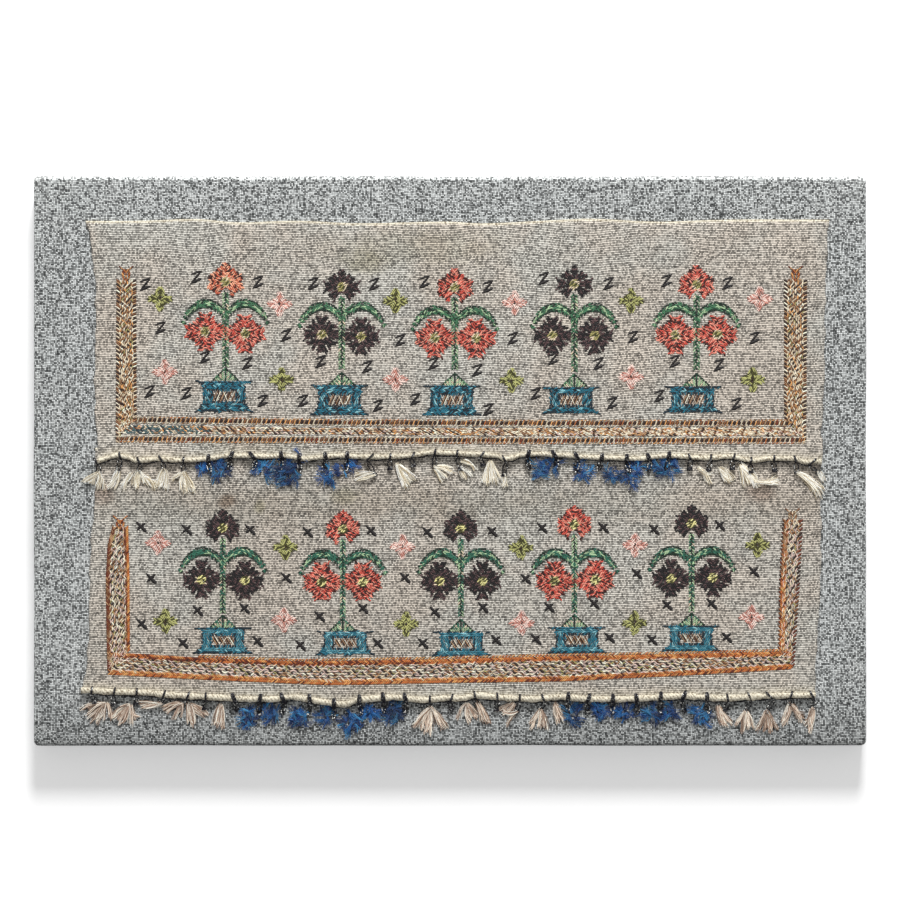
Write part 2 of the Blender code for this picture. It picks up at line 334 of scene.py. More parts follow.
def linen_finish():
    finish = Finish("ground_linen", roughness=0.92, sheen=0.05)
    x, y, z = finish.parts(finish.place())
    nx, ny, _ = finish.parts(finish.node("ShaderNodeNewGeometry", output=1))
    end_wall = abs(nx) > 0.7
    long_wall = abs(ny) > 0.7
    u = x * (1 - end_wall) + z * end_wall
    v = y * (1 - long_wall) + z * long_wall
    height, tone = weave(finish, u, v, LINEN_PITCH, 3.0)
    patches = finish.noise(finish.place(), 9.0) - 0.5
    colour = finish.mix(finish.smooth(tone + patches * 0.3, -0.95, 0.95), LINEN_DARK, LINEN_PALE)
    # Painted shade: the face is darker towards its bottom edge.
    painted_bottom_shade = finish.smooth(y, -0.165, -0.13) * 0.22 + 0.78
    # Painted highlight on the edge facing the lamp; painted shade on the top wall and the far edge.
    top_wall = finish.smooth(ny, 0.75, 0.95)
    lit_edge = finish.smooth(ny, 0.12, 0.45) * (1 - top_wall)
    shaded_edge = finish.smooth(-1 * ny, 0.25, 0.8)
    painted_edge_light = 1 + lit_edge * 0.9 - top_wall * 0.3 - shaded_edge * 0.45
    colour = finish.shade(colour, painted_bottom_shade * painted_edge_light)
    tint = finish.noise(finish.place(), 60.0) - 0.5
    colour = finish.mix(0.5 + tint, colour, LINEN_TINT, blend="MULTIPLY")
    finish.feed("Base Color", colour)
    finish.relief(height + tone * 0.5, 0.22 * MM)
    return finish.material


LINEN = linen_finish()
print("made the linen's finish")

# %% [markdown]
# The linen is one cloth drawn over the front and the sides and turned on to the back. It is lofted
# from rings, each a rounded rectangle, from the raw edge on the back, round the side, over the
# padded edge and on to the face, which one flat face closes. A little wander of each ring keeps it
# from looking moulded. The cloth gets its thickness last.

# %% Ground linen, stretched over the board
LINEN_LOW, LINEN_HIGH = (Vector(corner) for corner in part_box("linen_cover"))
HALF_WIDTH = LINEN_HIGH.x
HALF_HEIGHT = LINEN_HIGH.y
LINEN_THICK = 0.5 * MM
LINEN_TURN = 22 * MM
EDGE_RADIUS = 2.6 * MM
CORNER_RADIUS = 3.0 * MM
PILLOW = 15 * MM  # the padding thins towards the edge over this width
PILLOW_DROP = 0.45 * MM
CORNER_STEPS = 6
LONG_STEPS = 60
SHORT_STEPS = 40
EDGE_STEPS = 4
PILLOW_STEPS = 6
LINEN_WANDER = 0.22 * MM


def rounded_ring(inset):
    """Points round a rectangle with rounded corners, inset from the board's outline."""
    half = (HALF_WIDTH - inset, HALF_HEIGHT - inset)
    radius = min(CORNER_RADIUS, max(0.6 * MM, CORNER_RADIUS - inset * 0.2))
    centres = [
        (sx * (half[0] - radius), sy * (half[1] - radius))
        for sx, sy in ((1, 1), (-1, 1), (-1, -1), (1, -1))
    ]
    points = []
    for corner, (cx, cy) in enumerate(centres):
        for i in range(CORNER_STEPS + 1):
            turn = math.pi / 2 * (corner + i / CORNER_STEPS)
            points.append(Vector((cx + radius * math.cos(turn), cy + radius * math.sin(turn), 0)))
        steps = LONG_STEPS if corner % 2 == 0 else SHORT_STEPS
        ahead = Vector((*centres[(corner + 1) % 4], 0))
        outwards = math.pi / 2 * (corner + 1)
        first = points[-1]
        last = ahead + Vector((math.cos(outwards), math.sin(outwards), 0)) * radius
        points.extend(first.lerp(last, i / steps) for i in range(1, steps))
    return points


def linen_sections():
    """(inset, height) of each ring, from the raw edge on the back to the face."""
    crown = LINEN_HIGH.z - PILLOW_DROP
    turns = [math.pi / 2 * i / EDGE_STEPS for i in range(EDGE_STEPS + 1)]
    bends = [(EDGE_RADIUS * (1 - math.sin(t)), EDGE_RADIUS * (1 - math.cos(t))) for t in turns]
    sections = [(LINEN_TURN, 0.0), (LINEN_TURN / 2, 0.0)] + bends
    sections += [(inset, crown - drop) for drop, inset in bends]
    for i in range(1, PILLOW_STEPS + 1):
        share = i / PILLOW_STEPS
        inset = EDGE_RADIUS + (PILLOW - EDGE_RADIUS) * share
        sections.append((inset, crown + PILLOW_DROP * math.sin(share * math.pi / 2)))
    return sections


def new_object(name, mesh, *materials):
    made = bpy.data.objects.new(name, mesh)
    SCENE.collection.objects.link(made)
    for material in materials:
        mesh.materials.append(material)
    return made


def settled(made):
    """Turns an object with modifiers into a plain mesh of the same shape."""
    bpy.context.view_layer.update()
    graph = bpy.context.evaluated_depsgraph_get()
    mesh = bpy.data.meshes.new_from_object(made.evaluated_get(graph))
    made.modifiers.clear()
    if made.type == "MESH":
        old = made.data
        made.data = mesh
        bpy.data.meshes.remove(old)
        return made
    name = made.name
    bpy.data.objects.remove(made)
    return new_object(name, mesh)


def thickened(cloth, thickness):
    """A smooth cloth with a thickness inwards from its face."""
    wall = cloth.modifiers.new("thickness", "SOLIDIFY")
    wall.thickness = thickness
    wall.offset = -1
    settled(cloth)
    cloth.data.shade_smooth()
    return cloth


def triangles(made):
    return sum(len(face.vertices) - 2 for face in made.data.polygons)


def make_linen_cover():
    shape = bmesh.new()
    rings = []
    for number, (inset, height) in enumerate(linen_sections()):
        on_back = height == 0.0
        ring = []
        for i, point in enumerate(rounded_ring(inset)):
            wander = LINEN_WANDER * math.sin(i * 0.37 + number * 0.2) * math.sin(i * 0.113)
            out = point.normalized() * wander * (0 if on_back else 1)
            ring.append(shape.verts.new(point + out + Vector((0, 0, height))))
        rings.append(ring)
    for lower, upper in zip(rings, rings[1:]):
        for i in range(len(lower)):
            j = (i + 1) % len(lower)
            shape.faces.new((lower[i], lower[j], upper[j], upper[i]))
    shape.faces.new(rings[-1])
    mesh = bpy.data.meshes.new("linen_cover_cloth")
    shape.to_mesh(mesh)
    shape.free()
    return thickened(new_object("linen_cover_cloth", mesh, LINEN), LINEN_THICK)


linen_cover = make_linen_cover()
print("linen cover:", triangles(linen_cover), "triangles")

# %% [markdown]
# ## The towel's cloth
# The towel is a fine cotton and linen cloth. Thicker weft threads cross it every millimetre or so
# and show as pale ribs; the dips between the ribs and between the yarns are painted darker, painted
# shade. It has gone greige with age, and has a few brown and greenish stains where water stood. Two
# broad darker patches across the top of the lower end, under the upper end's hem and tassels, are
# painted shade. The ribs follow the cloth, so the pattern reads the sheet's own UV map, which holds
# metres along and down the cloth. The rolled hem and the cut top edge are whipped with tan and
# cream thread, which the same pattern draws where "rolled" is 1, with painted shade in the grooves
# between the whip stitches.

# %% Towel cloth finish
RIB_PITCH = 1.04 * MM
YARN_PITCH = 0.9 * MM
TOWEL_DARK = rgb(34, 29, 24)
TOWEL_PALE = rgb(247, 238, 225)
HEM_TAN = rgb(130, 114, 90)
HEM_CREAM = rgb(244, 236, 212)
WHIP_PITCH = 2.3 * MM
CLOTH_WARM = (1.0, 0.97, 0.94, 1)
CLOTH_COOL = (0.95, 1.0, 1.02, 1)


class StainAndShade(NamedTuple):
    """Stained patch, also painted shade: where, how far it spreads along and down, in mm, how
    strong.
    """

    across: float
    up: float
    wide: float
    high: float
    strength: float
    colour: tuple


STAINS_AND_SHADE = (
    StainAndShade(-134, -24, 6, 5, 0.55, rgb(150, 112, 76)),
    StainAndShade(-114, -27, 4, 5, 0.35, rgb(176, 178, 112)),
    StainAndShade(-63, -21, 9, 6, 0.30, rgb(176, 178, 120)),
    StainAndShade(-52, 119, 14, 8, 0.35, rgb(168, 164, 112)),
    StainAndShade(-20, 128, 60, 12, 0.22, rgb(176, 172, 128)),
    StainAndShade(-211, -20, 9, 7, 0.45, rgb(166, 122, 96)),
    StainAndShade(185, -19, 10, 6, 0.40, rgb(170, 128, 104)),
    StainAndShade(-120, 10, 40, 5, 0.20, rgb(186, 170, 128)),
    # These two broad patches are painted shade under the upper end's hem and tassels.
    StainAndShade(-100, -26, 170, 14, 0.38, rgb(206, 200, 190)),
    StainAndShade(110, -26, 150, 13, 0.30, rgb(206, 200, 190)),
)


def stain_and_shade_mask(finish, x, y, tone_patch, ragged):
    across = (x - tone_patch.across * MM) / (tone_patch.wide * MM)
    down = (y - tone_patch.up * MM) / (tone_patch.high * MM)
    distance = (across * across + down * down).math("SQRT") + ragged
    return (1 - finish.smooth(distance, 0.35, 1.25)) * tone_patch.strength


def towel_finish():
    finish = Finish("towel_cloth", roughness=0.88, sheen=0.05)
    u, v, _ = finish.parts(finish.node("ShaderNodeUVMap", {"uv_map": "cloth"}))
    x, y, _ = finish.parts(finish.place())
    rolled = finish.attribute("rolled", output=2)
    sway = finish.noise(finish.vector(u * 20, v * 20, 0.0), 1.0, 3.0) - 0.5
    rib = v / RIB_PITCH + sway * 3.0
    rib_number = rib.math("FLOOR")
    rib_height = abs((rib * math.pi).math("SINE"))
    streak = finish.noise(finish.vector(u * 900, rib_number * 3.1, 4.0), 1.0, 3.0) - 0.5
    yarn = u / YARN_PITCH + finish.chance(rib_number, 7.0) * 5.0
    yarn_light = finish.chance(yarn.math("FLOOR") + rib_number * 211.0, 5.0) - 0.5
    rib_light = finish.chance(rib_number, 2.0) - 0.5
    yarn_height = abs((yarn * math.pi).math("SINE"))
    tone = yarn_light * 1.15 + streak * 0.7 + rib_light * 0.2
    # The height terms make the dips between ribs and yarns darker: painted shade.
    tone = tone + (rib_height - 0.64) * 1.2 + (yarn_height - 0.64) * 0.7
    colour = finish.mix(finish.smooth(tone, -0.85, 0.85), TOWEL_DARK, TOWEL_PALE)
    cloud = finish.noise(finish.place(), 26.0, 3.0)
    warm = finish.mix(finish.smooth(cloud, 0.35, 0.7), CLOTH_WARM, CLOTH_COOL)
    colour = finish.mix(1.0, colour, warm, blend="MULTIPLY")
    ragged = (finish.noise(finish.place(), 130.0, 3.0) - 0.5) * 1.1
    for tone_patch in STAINS_AND_SHADE:
        mask = stain_and_shade_mask(finish, x, y, tone_patch, ragged)
        colour = finish.mix(mask, colour, finish.mix(1.0, colour, tone_patch.colour, blend="MULTIPLY"))
    whip = (((u + v * 0.7) / WHIP_PITCH + sway * 3.0) * math.pi).math("SINE")
    fibre = finish.noise(finish.vector(u * 900, v * 500, 2.0), 1.0, 3.0) - 0.5
    # abs(whip) leaves the grooves between whip stitches darker: painted shade.
    cord_tone = abs(whip) * 0.3 + fibre * 1.9 + tone * 0.25 + 0.12
    cord = finish.mix(finish.smooth(cord_tone, -0.2, 0.55), HEM_TAN, HEM_CREAM)
    cord = finish.shade(cord, 0.7 + finish.noise(finish.place(), 170.0, 3.0) * 0.5)
    top_edge = 1 - finish.smooth(v + fibre * 2.5 * MM, 0.6 * MM, 1.9 * MM)
    colour = finish.mix(top_edge.math("MAXIMUM", rolled) * 0.9, colour, cord)
    colour = finish.shade(colour, 0.9 + finish.noise(finish.place(), 11.0) * 0.2)
    finish.feed("Base Color", colour)
    flat_relief = rib_height + tone * 0.5
    finish.relief(flat_relief * (1 - rolled) + (abs(whip) + fibre * 1.5) * rolled, 0.16 * MM)
    return finish.material


TOWEL = towel_finish()
print("made the towel's finish")

# %% [markdown]
# ## How the two ends lie
# Each end is a sheet whose outline wanders, because it was cut and hemmed by eye. Its hem is rolled
# towards the front. The tables give the hem's line, the top edge and the two selvedges as they lie
# on the board, in millimetres from the middle of the panel. The solids have the same lines in a
# coarser form. The sheets are a little thinner than their solids, as the real cloth is.

# %% The towel ends' shape
SHEET_THICK = 0.6 * MM
SEAM_GAP = 0.12 * MM
RIPPLE = 0.35 * MM
PUCKER = 0.30 * MM
ROLL_TURN = math.radians(255)
COLUMNS = 320
BODY_ROWS = 44
ROLL_ROWS = 10
SELVEDGE_WAVES = ((9.3, 0.30), (4.1, 0.22), (23.0, 0.35))  # length and height of each wave, mm
LOOP_PITCH = 13.6 * MM  # the loops pull the hem in at this pitch


class Line:
    """A wandering line given by a few places on it, as (station, value) in mm."""

    def __init__(self, *places):
        self.stations = [place[0] * MM for place in places]
        self.values = [place[1] * MM for place in places]

    def at(self, station):
        """The value on a smooth curve through the places."""
        xs = self.stations
        ys = self.values
        station = min(max(station, xs[0]), xs[-1])
        i = min(int(np.searchsorted(xs, station, side="right")) - 1, len(xs) - 2)
        step = xs[i + 1] - xs[i]
        share = (station - xs[i]) / step
        before = (ys[i + 1] - ys[i - 1]) / (xs[i + 1] - xs[i - 1]) if i > 0 else 0.0
        after = (ys[i + 2] - ys[i]) / (xs[i + 2] - xs[i]) if i + 2 < len(xs) else 0.0
        square = share * share
        cube = square * share
        return (
            (2 * cube - 3 * square + 1) * ys[i]
            + (cube - 2 * square + share) * step * before
            + (3 * square - 2 * cube) * ys[i + 1]
            + (cube - square) * step * after
        )


class TowelEnd(NamedTuple):
    """One towel end as it lies on the board."""

    name: str
    top: Line
    hem: Line
    left: Line
    right: Line
    hem_radius: float
    underside: float
    hem_underside: float
    climb: tuple
    seed: int

    def base(self, y):
        """Height of the underside where the sheet is flat."""
        low, high = self.climb
        share = min(1.0, max(0.0, (high - y) / (high - low)))
        share = share * share * (3 - 2 * share)
        return self.underside + (self.hem_underside - self.underside) * share

    def lift(self, x, y):
        """How far the cloth stands off what it lies on."""
        top = self.top.at(x)
        down = min(1.0, max(0.0, (top - y) / (top - self.hem.at(x))))
        waves = math.sin(x * 68 + self.seed) + math.sin(x * 41 - y * 33 + self.seed * 2)
        waves += math.sin(x * 19 + y * 47 + self.seed)
        long_wave = RIPPLE * (0.5 + waves / 6) * (0.25 + 0.75 * down)
        near_hem = math.exp(-(y - self.hem.at(x)) / (7 * MM))
        pucker = PUCKER * near_hem * (0.5 + 0.5 * math.sin(x * 2 * math.pi / LOOP_PITCH))
        return long_wave + max(0.0, pucker)

    def bottom(self, x, y):
        return self.base(y) + self.lift(x, y)

    def face(self, x, y):
        """Height of the cloth's face, which the needlework lies on."""
        return self.bottom(x, y) + SHEET_THICK


ON_LINEN = FACE_HEIGHT + SEAM_GAP
ON_CLOTH = ON_LINEN + RIPPLE + SHEET_THICK + SEAM_GAP

UPPER = TowelEnd(
    name="upper",
    top=Line(
        (-218, 144.1), (-179, 144.1), (-147, 145.2), (-123, 143.2), (-86, 144.1), (-52, 142.6),
        (-1, 143.6), (22, 142.6), (67, 144.7), (84, 145.3), (124, 143.6), (159, 144.7),
        (227, 144.8),
    ),
    hem=Line(
        (-214, -0.6), (-203, 2.4), (-199, 3.4), (-192, 2.0), (-188, 0.2), (-174, 1.2),
        (-159, 0.4), (-142, 1.7), (-134, 3.1), (-108, 2.7), (-99, 3.1), (-87, 1.4), (-68, 3.1),
        (-49, 2.3), (-24, 3.1), (-13, 5.0), (2, 4.6), (20, 3.7), (29, 2.8), (33, 1.1),
        (46, 4.0), (69, 3.4), (81, 2.3), (101, 1.7), (113, 1.4), (130, 3.1), (153, 1.7),
        (168, 2.6), (181, 0.2), (190, 1.4), (207, 1.1), (213, -0.6), (223, -0.3),
    ),
    left=Line(
        (-2, -211.0), (10, -211.2), (26, -212.6), (49, -213.1), (83, -212.4), (112, -213.0),
        (125, -215.0), (137, -216.3), (144, -218.2),
    ),
    right=Line(
        (-2, 223.2), (7, 223.1), (20, 223.0), (49, 224.6), (72, 224.7), (106, 225.3),
        (129, 226.4), (145, 226.9),
    ),
    hem_radius=1.40 * MM,
    underside=ON_LINEN,
    hem_underside=ON_CLOTH,
    climb=(9 * MM, 21 * MM),
    seed=1,
)
LOWER = TowelEnd(
    name="lower",
    top=Line((-214, 8), (225, 8)),
    hem=Line(
        (-221, -137.4), (-202, -138.3), (-180, -138.9), (-171, -140.0), (-142, -141.5),
        (-121, -142.6), (-105, -142.6), (-93, -141.5), (-79, -143.8), (-63, -145.8),
        (-55, -143.2), (-32, -141.8), (-15, -143.2), (-3, -142.1), (8, -142.1), (16, -140.3),
        (27, -141.5), (50, -142.6), (67, -141.5), (84, -142.6), (108, -142.6), (139, -140.9),
        (163, -142.2), (188, -140.9), (217, -140.3),
    ),
    left=Line(
        (-143, -221.4), (-137, -221.1), (-135, -219.8), (-109, -216.8), (-79, -216.2),
        (-50, -215.4), (-20, -212.8), (8, -212.4),
    ),
    right=Line(
        (-143, 219.3), (-132, 218.9), (-110, 220.1), (-79, 221.9), (-55, 222.5), (-18, 222.5),
        (8, 222.8),
    ),
    hem_radius=1.85 * MM,
    underside=ON_LINEN,
    hem_underside=ON_LINEN,
    climb=(1.0, 1.1),  # it lies on the linen throughout, so it never climbs
    seed=4,
)
ENDS = (UPPER, LOWER)


def selvedge(y, seed):
    """How far a selvedge strays at a height, because its edge threads were never straight."""
    return sum(
        high * MM * math.sin(2 * math.pi * y / (long * MM) + seed * long)
        for long, high in SELVEDGE_WAVES
    )


def make_sheet(end):
    """The cloth and its rolled hem as one sheet. Its UV map is in metres along and down it."""
    bumps = np.random.default_rng(end.seed).normal(0, 0.15, COLUMNS + 1)
    bumps = np.convolve(bumps, (0.25, 0.5, 0.25), "same")
    points = []
    flat = []
    rolled = []
    left_foot = end.left.at(end.hem.at(end.left.values[0]))
    right_foot = end.right.at(end.hem.at(end.right.values[0]))
    for row in range(BODY_ROWS + ROLL_ROWS + 1):
        for column in range(COLUMNS + 1):
            across = column / COLUMNS
            foot = left_foot + (right_foot - left_foot) * across
            hem = end.hem.at(foot)
            top = end.top.at(foot)
            down = min(row, BODY_ROWS) / BODY_ROWS
            y = top + (hem - top) * down
            left = end.left.at(y) + selvedge(y, end.seed)
            right = end.right.at(y) + selvedge(y, end.seed + 5)
            x = left + (right - left) * across
            z = end.bottom(x, y)
            distance = top - y
            turn = ROLL_TURN * max(0, row - BODY_ROWS) / ROLL_ROWS
            loop_pull = 0.5 + 0.5 * math.cos(x * 2 * math.pi / LOOP_PITCH)
            waves = 0.09 * math.sin(x * 1460 + end.seed) * math.sin(x * 330)
            radius = end.hem_radius * (1 + waves + bumps[column] - 0.12 * loop_pull**3)
            points.append((x, y - radius * math.sin(turn), z + radius * (1 - math.cos(turn))))
            flat.append((x, distance + radius * turn))
            rolled.append(1.0 if row > BODY_ROWS else max(0.0, 1 - (BODY_ROWS - row) / 1.5))
    wide = COLUMNS + 1
    faces = []
    for row in range(BODY_ROWS + ROLL_ROWS):
        for column in range(COLUMNS):
            corner = row * wide + column
            faces.append((corner, corner + 1, corner + 1 + wide, corner + wide))
    mesh = bpy.data.meshes.new(end.name + "_towel_cloth")
    mesh.from_pydata(points, [], faces)
    layer = mesh.uv_layers.new(name="cloth")
    for loop in mesh.loops:
        layer.data[loop.index].uv = flat[loop.vertex_index]
    attribute = mesh.attributes.new("rolled", "FLOAT", "POINT")
    attribute.data.foreach_set("value", rolled)
    return thickened(new_object(end.name + "_towel_cloth", mesh, TOWEL), SHEET_THICK)


sheets = {end.name: make_sheet(end) for end in ENDS}
for name, sheet in sheets.items():
    print(name, "sheet:", triangles(sheet), "triangles")

# %% [markdown]
# ## Stitches
# The needlework is counted thread work: short slanting stitches of untwisted silk, each over a few
# threads of the cloth. One stitch is a low arch that dives into the cloth at both ends. A Geometry
# Nodes tree sets one on every point of a chart, turned, stretched and tinted as the point says,
# which keeps thousands of stitches light. The chart is only a cloud of points with attributes.
# Each stitch also stores its own height as "crest", so that its finish can darken the sides, where
# real stitches shade each other.

# %% A tree that works a chart of stitches


class Maker(Graph):
    """A Geometry Nodes tree while it is being made."""

    def __init__(self, name):
        super().__init__(bpy.data.node_groups.new(name, "GeometryNodeTree"))
        for way in ("INPUT", "OUTPUT"):
            self.tree.interface.new_socket("Geometry", in_out=way, socket_type="NodeSocketGeometry")
        self.given = self.tree.nodes.new("NodeGroupInput")
        self.result = self.tree.nodes.new("NodeGroupOutput")

    def input(self, name, kind="Float"):
        self.tree.interface.new_socket(name, in_out="INPUT", socket_type="NodeSocket" + kind)
        return Socket(self, self.given.outputs[name])

    def geometry(self):
        return Socket(self, self.given.outputs["Geometry"])

    def named(self, name):
        """A number that each point of the cloud carries."""
        settings = {"data_type": "FLOAT"}
        return self.node("GeometryNodeInputNamedAttribute", settings, {"Name": name})

    def line(self, start, end, count):
        """A straight path with so many points."""
        values = {"Start": start, "End": end}
        line = self.node("GeometryNodeCurvePrimitiveLine", values=values)
        values = {"Curve": line, "Count": count}
        return self.node("GeometryNodeResampleCurve", {"mode": "COUNT"}, values)

    def tube(self, path, section):
        """A section swept along a path, with closed ends."""
        values = {"Curve": path, "Profile Curve": section, "Fill Caps": True}
        return self.node("GeometryNodeCurveToMesh", values=values)

    def ring(self, sides, radius):
        """A section for a tube."""
        values = {"Resolution": sides, "Radius": radius}
        return self.node("GeometryNodeCurvePrimitiveCircle", values=values)

    def moved(self, geometry, offset):
        values = {"Geometry": geometry, "Offset": offset}
        return self.node("GeometryNodeSetPosition", values=values)

    def on_each_point(self, thing, **values):
        """A thing on every point of the cloud that the tree works on."""
        points = self.node("GeometryNodeMeshToPoints", values={0: self.geometry()})
        values = {"Points": points, "Instance": thing, **values}
        return self.node("GeometryNodeInstanceOnPoints", values=values)

    def finish(self, geometry):
        """Ends the tree: real geometry, smooth, with its material."""
        material = self.input("Material", "Material")
        real = self.node("GeometryNodeRealizeInstances", values={0: geometry})
        soft = self.node("GeometryNodeSetShadeSmooth", values={0: real})
        worn = self.node("GeometryNodeSetMaterial", values={0: soft, "Material": material})
        self.tree.links.new(worn.socket, self.result.inputs["Geometry"])
        print(self.tree.name, "is a tree of", len(self.tree.nodes), "nodes")

    def run(self, made, **values):
        """Runs the tree on an object and leaves a plain mesh."""
        modifier = made.modifiers.new(self.tree.name, "NODES")
        modifier.node_group = self.tree
        for item in self.tree.interface.items_tree:
            if item.in_out == "INPUT" and item.name in values:
                modifier[item.identifier] = values[item.name]
        return settled(made)


def stitch_tree():
    maker = Maker("worked_stitches")
    thickness = maker.input("Thickness")
    path = maker.line((-0.5, 0, 0), (0.5, 0, 0), 3)
    off_middle = maker.node("GeometryNodeSplineParameter") * 2 - 1
    rise = maker.vector(0.0, 0.0, 0.26 - off_middle * off_middle * 0.2)
    arch = maker.moved(path, rise)
    fullness = 1 - off_middle * off_middle * 0.16
    thread = maker.node("GeometryNodeSetCurveRadius", values={0: arch, "Radius": fullness})
    values = {0: maker.ring(3, 0.58), "Rotation": (0, 0, -math.pi / 2)}
    body = maker.tube(thread, maker.node("GeometryNodeTransform", values=values))
    height = maker.parts(maker.node("GeometryNodeInputPosition"))[2]
    stitch = maker.node(
        "GeometryNodeStoreNamedAttribute", {"data_type": "FLOAT", "domain": "POINT"},
        {"Geometry": body, "Name": "crest", "Value": height},
    )
    scale = maker.vector(maker.named("span"), maker.named("width"), thickness)
    turn = maker.vector(0.0, 0.0, maker.named("turn"))
    maker.finish(maker.on_each_point(stitch, Rotation=turn, Scale=scale))
    return maker


STITCH_TREE = stitch_tree()

# %% [markdown]
# The silk has a soft gleam along each thread. Its colour comes from the chart, a little different
# for each stitch, because silk dyed by hand is never even and has faded unevenly since.

# %% Silk finishes


def silk_finish(name, roughness, gleam, glow=0.0):
    finish = Finish(name, roughness=roughness, sheen=gleam, glow=glow)
    fuzz = finish.noise(finish.place(), 1500.0)
    finish.relief(fuzz, 0.05 * MM)
    return finish, finish.shade(finish.attribute("thread_colour"), 0.78 + fuzz * 0.44)


stitching, silk_colour = silk_finish("stitching_silk", 0.6, 0.1)
crest = stitching.smooth(stitching.attribute("crest", output=2), 0.02, 0.5)
stitching.feed("Base Color", stitching.shade(silk_colour, 0.22 + crest * 0.95))
STITCH_SILK = stitching.material

loose, silk_colour = silk_finish("tassel_silk", 0.5, 0.25, glow=0.15)
loose.feed("Base Color", silk_colour)
loose.feed("Emission Color", silk_colour)  # painted light: the strands glow a little in their own colour
TASSEL_SILK = loose.material

THREADS = {
    "coral": rgb(204, 102, 74),
    "coral_pale": rgb(230, 162, 130),
    "red": rgb(194, 76, 62),
    "red_pale": rgb(226, 140, 120),
    "maroon": rgb(64, 22, 16),
    "black": rgb(26, 19, 22),
    "plum": rgb(84, 62, 62),
    "olive": rgb(156, 148, 92),
    "yellow": rgb(228, 220, 150),
    "green": rgb(64, 112, 80),
    "green_dark": rgb(20, 48, 34),
    "green_pale": rgb(164, 192, 150),
    "sea_green": rgb(48, 104, 84),
    "teal": rgb(30, 106, 126),
    "teal_pale": rgb(132, 186, 194),
    "teal_grey": rgb(74, 132, 146),
    "navy": rgb(10, 38, 50),
    "slate": rgb(70, 96, 98),
    "pink": rgb(240, 208, 196),
    "rose": rgb(192, 132, 118),
    "lime": rgb(176, 176, 110),
    "moss": rgb(70, 68, 28),
    "brown": rgb(116, 74, 44),
    "umber": rgb(52, 30, 20),
    "tan": rgb(172, 134, 98),
    "rust": rgb(184, 106, 54),
    "rust_dark": rgb(104, 46, 24),
    "gold": rgb(214, 154, 92),
    "sand": rgb(216, 198, 168),
    "blush": rgb(212, 184, 172),
    "cream": rgb(242, 232, 208),
    "ink": rgb(28, 22, 22),
}
print(len(THREADS), "colours of silk")

# %% [markdown]
# ## Charts
# A chart collects stitches. Its fill method walks the cloth's threads row by row and asks a shape
# function which colour belongs at each place, as a stitcher does with a counted pattern. Flowers,
# leaves, pots and stars are such shape functions, drawn from radii and angles.

# %% The chart
ROW_PITCH = 1.2
COLUMN_PITCH = 1.3
SLIPS = 0.22  # the share of stitches that are one off in their count
STITCH_THICK = 0.55 * MM
EMBEDDED = 0.04 * MM
TINT_LOW = 0.72  # silk dyed by hand is uneven, so each stitch is lighter or darker
TINT_HIGH = 1.28


def point_cloud(name, rows, labels, colour=False):
    """A mesh of loose points. Each label names a column after the place; a colour ends the row."""
    rows = np.array(rows)
    mesh = bpy.data.meshes.new(name)
    mesh.from_pydata(rows[:, :3].tolist(), [], [])
    for column, label in enumerate(labels, start=3):
        layer = mesh.attributes.new(label, "FLOAT", "POINT")
        layer.data.foreach_set("value", rows[:, column])
    if colour:
        tints = mesh.attributes.new("thread_colour", "FLOAT_COLOR", "POINT")
        tints.data.foreach_set("color", rows[:, -4:].ravel())
    return new_object(name, mesh)


def tint(random, colour, low, high):
    """A colour made lighter or darker by a random factor."""
    factor = random.uniform(low, high)
    return [min(1.0, c * factor) for c in colour[:3]] + [1.0]


class Chart:
    """Stitches worked on one towel end. Places are in mm."""

    def __init__(self, end, name, seed):
        self.end = end
        self.name = name
        self.random = np.random.default_rng(seed)
        self.rows = []

    def stitch(self, x, y, slant, colour, span, width):
        """One stitch, with its slant in degrees from the weft."""
        tinted = tint(self.random, THREADS[colour], TINT_LOW, TINT_HIGH)
        z = self.end.face(x * MM, y * MM) + EMBEDDED
        self.rows.append((x * MM, y * MM, z, math.radians(slant), span * MM, width * MM, *tinted))

    def between(self, first, last, colour, width):
        """A stitch from one place to another."""
        dx = last[0] - first[0]
        dy = last[1] - first[1]
        middle = ((first[0] + last[0]) / 2, (first[1] + last[1]) / 2)
        slant = math.degrees(math.atan2(dy, dx))
        self.stitch(*middle, slant, colour, math.hypot(dx, dy), width)

    def fill(self, centre, reach, shape, slant, pitch=(COLUMN_PITCH, ROW_PITCH), wobble=6, **sizes):
        """Works the places near a centre where shape(dx, dy) names a colour."""
        columns = int(reach[0] / pitch[0]) + 1
        rows = int(reach[1] / pitch[1]) + 1
        for row in range(-rows, rows + 1):
            for column in range(-columns, columns + 1):
                dx = (column + 0.5 * (row % 2)) * pitch[0] + self.random.normal(0, 0.10)
                dy = row * pitch[1] + self.random.normal(0, 0.08)
                colour = shape(dx, dy)
                if colour:
                    lean = slant(dx, dy) if callable(slant) else slant
                    lean += self.random.normal(0, wobble)
                    self.stitch(centre[0] + dx, centre[1] + dy, lean, colour, **sizes)

    def speckle(self, dx, dy, colours):
        """One of the colours, in slanting lines as a stitcher counts them, with some slips."""
        line = round(abs(dx) / COLUMN_PITCH) + round(abs(dy) / ROW_PITCH)
        if self.random.random() < SLIPS:
            line += 1
        return colours[line % len(colours)]

    def pick(self, *choices):
        """One of (share, colour) choices at random."""
        draw = self.random.random() * sum(share for share, _ in choices)
        for share, colour in choices:
            draw -= share
            if draw <= 0:
                return colour
        return choices[-1][1]

    def work(self):
        """Turns the chart into a mesh of stitches."""
        cloud = point_cloud(self.name, self.rows, ("turn", "span", "width"), colour=True)
        made = STITCH_TREE.run(cloud, Thickness=STITCH_THICK, Material=STITCH_SILK)
        print(self.name, len(self.rows), "stitches,", triangles(made), "triangles")
        return made


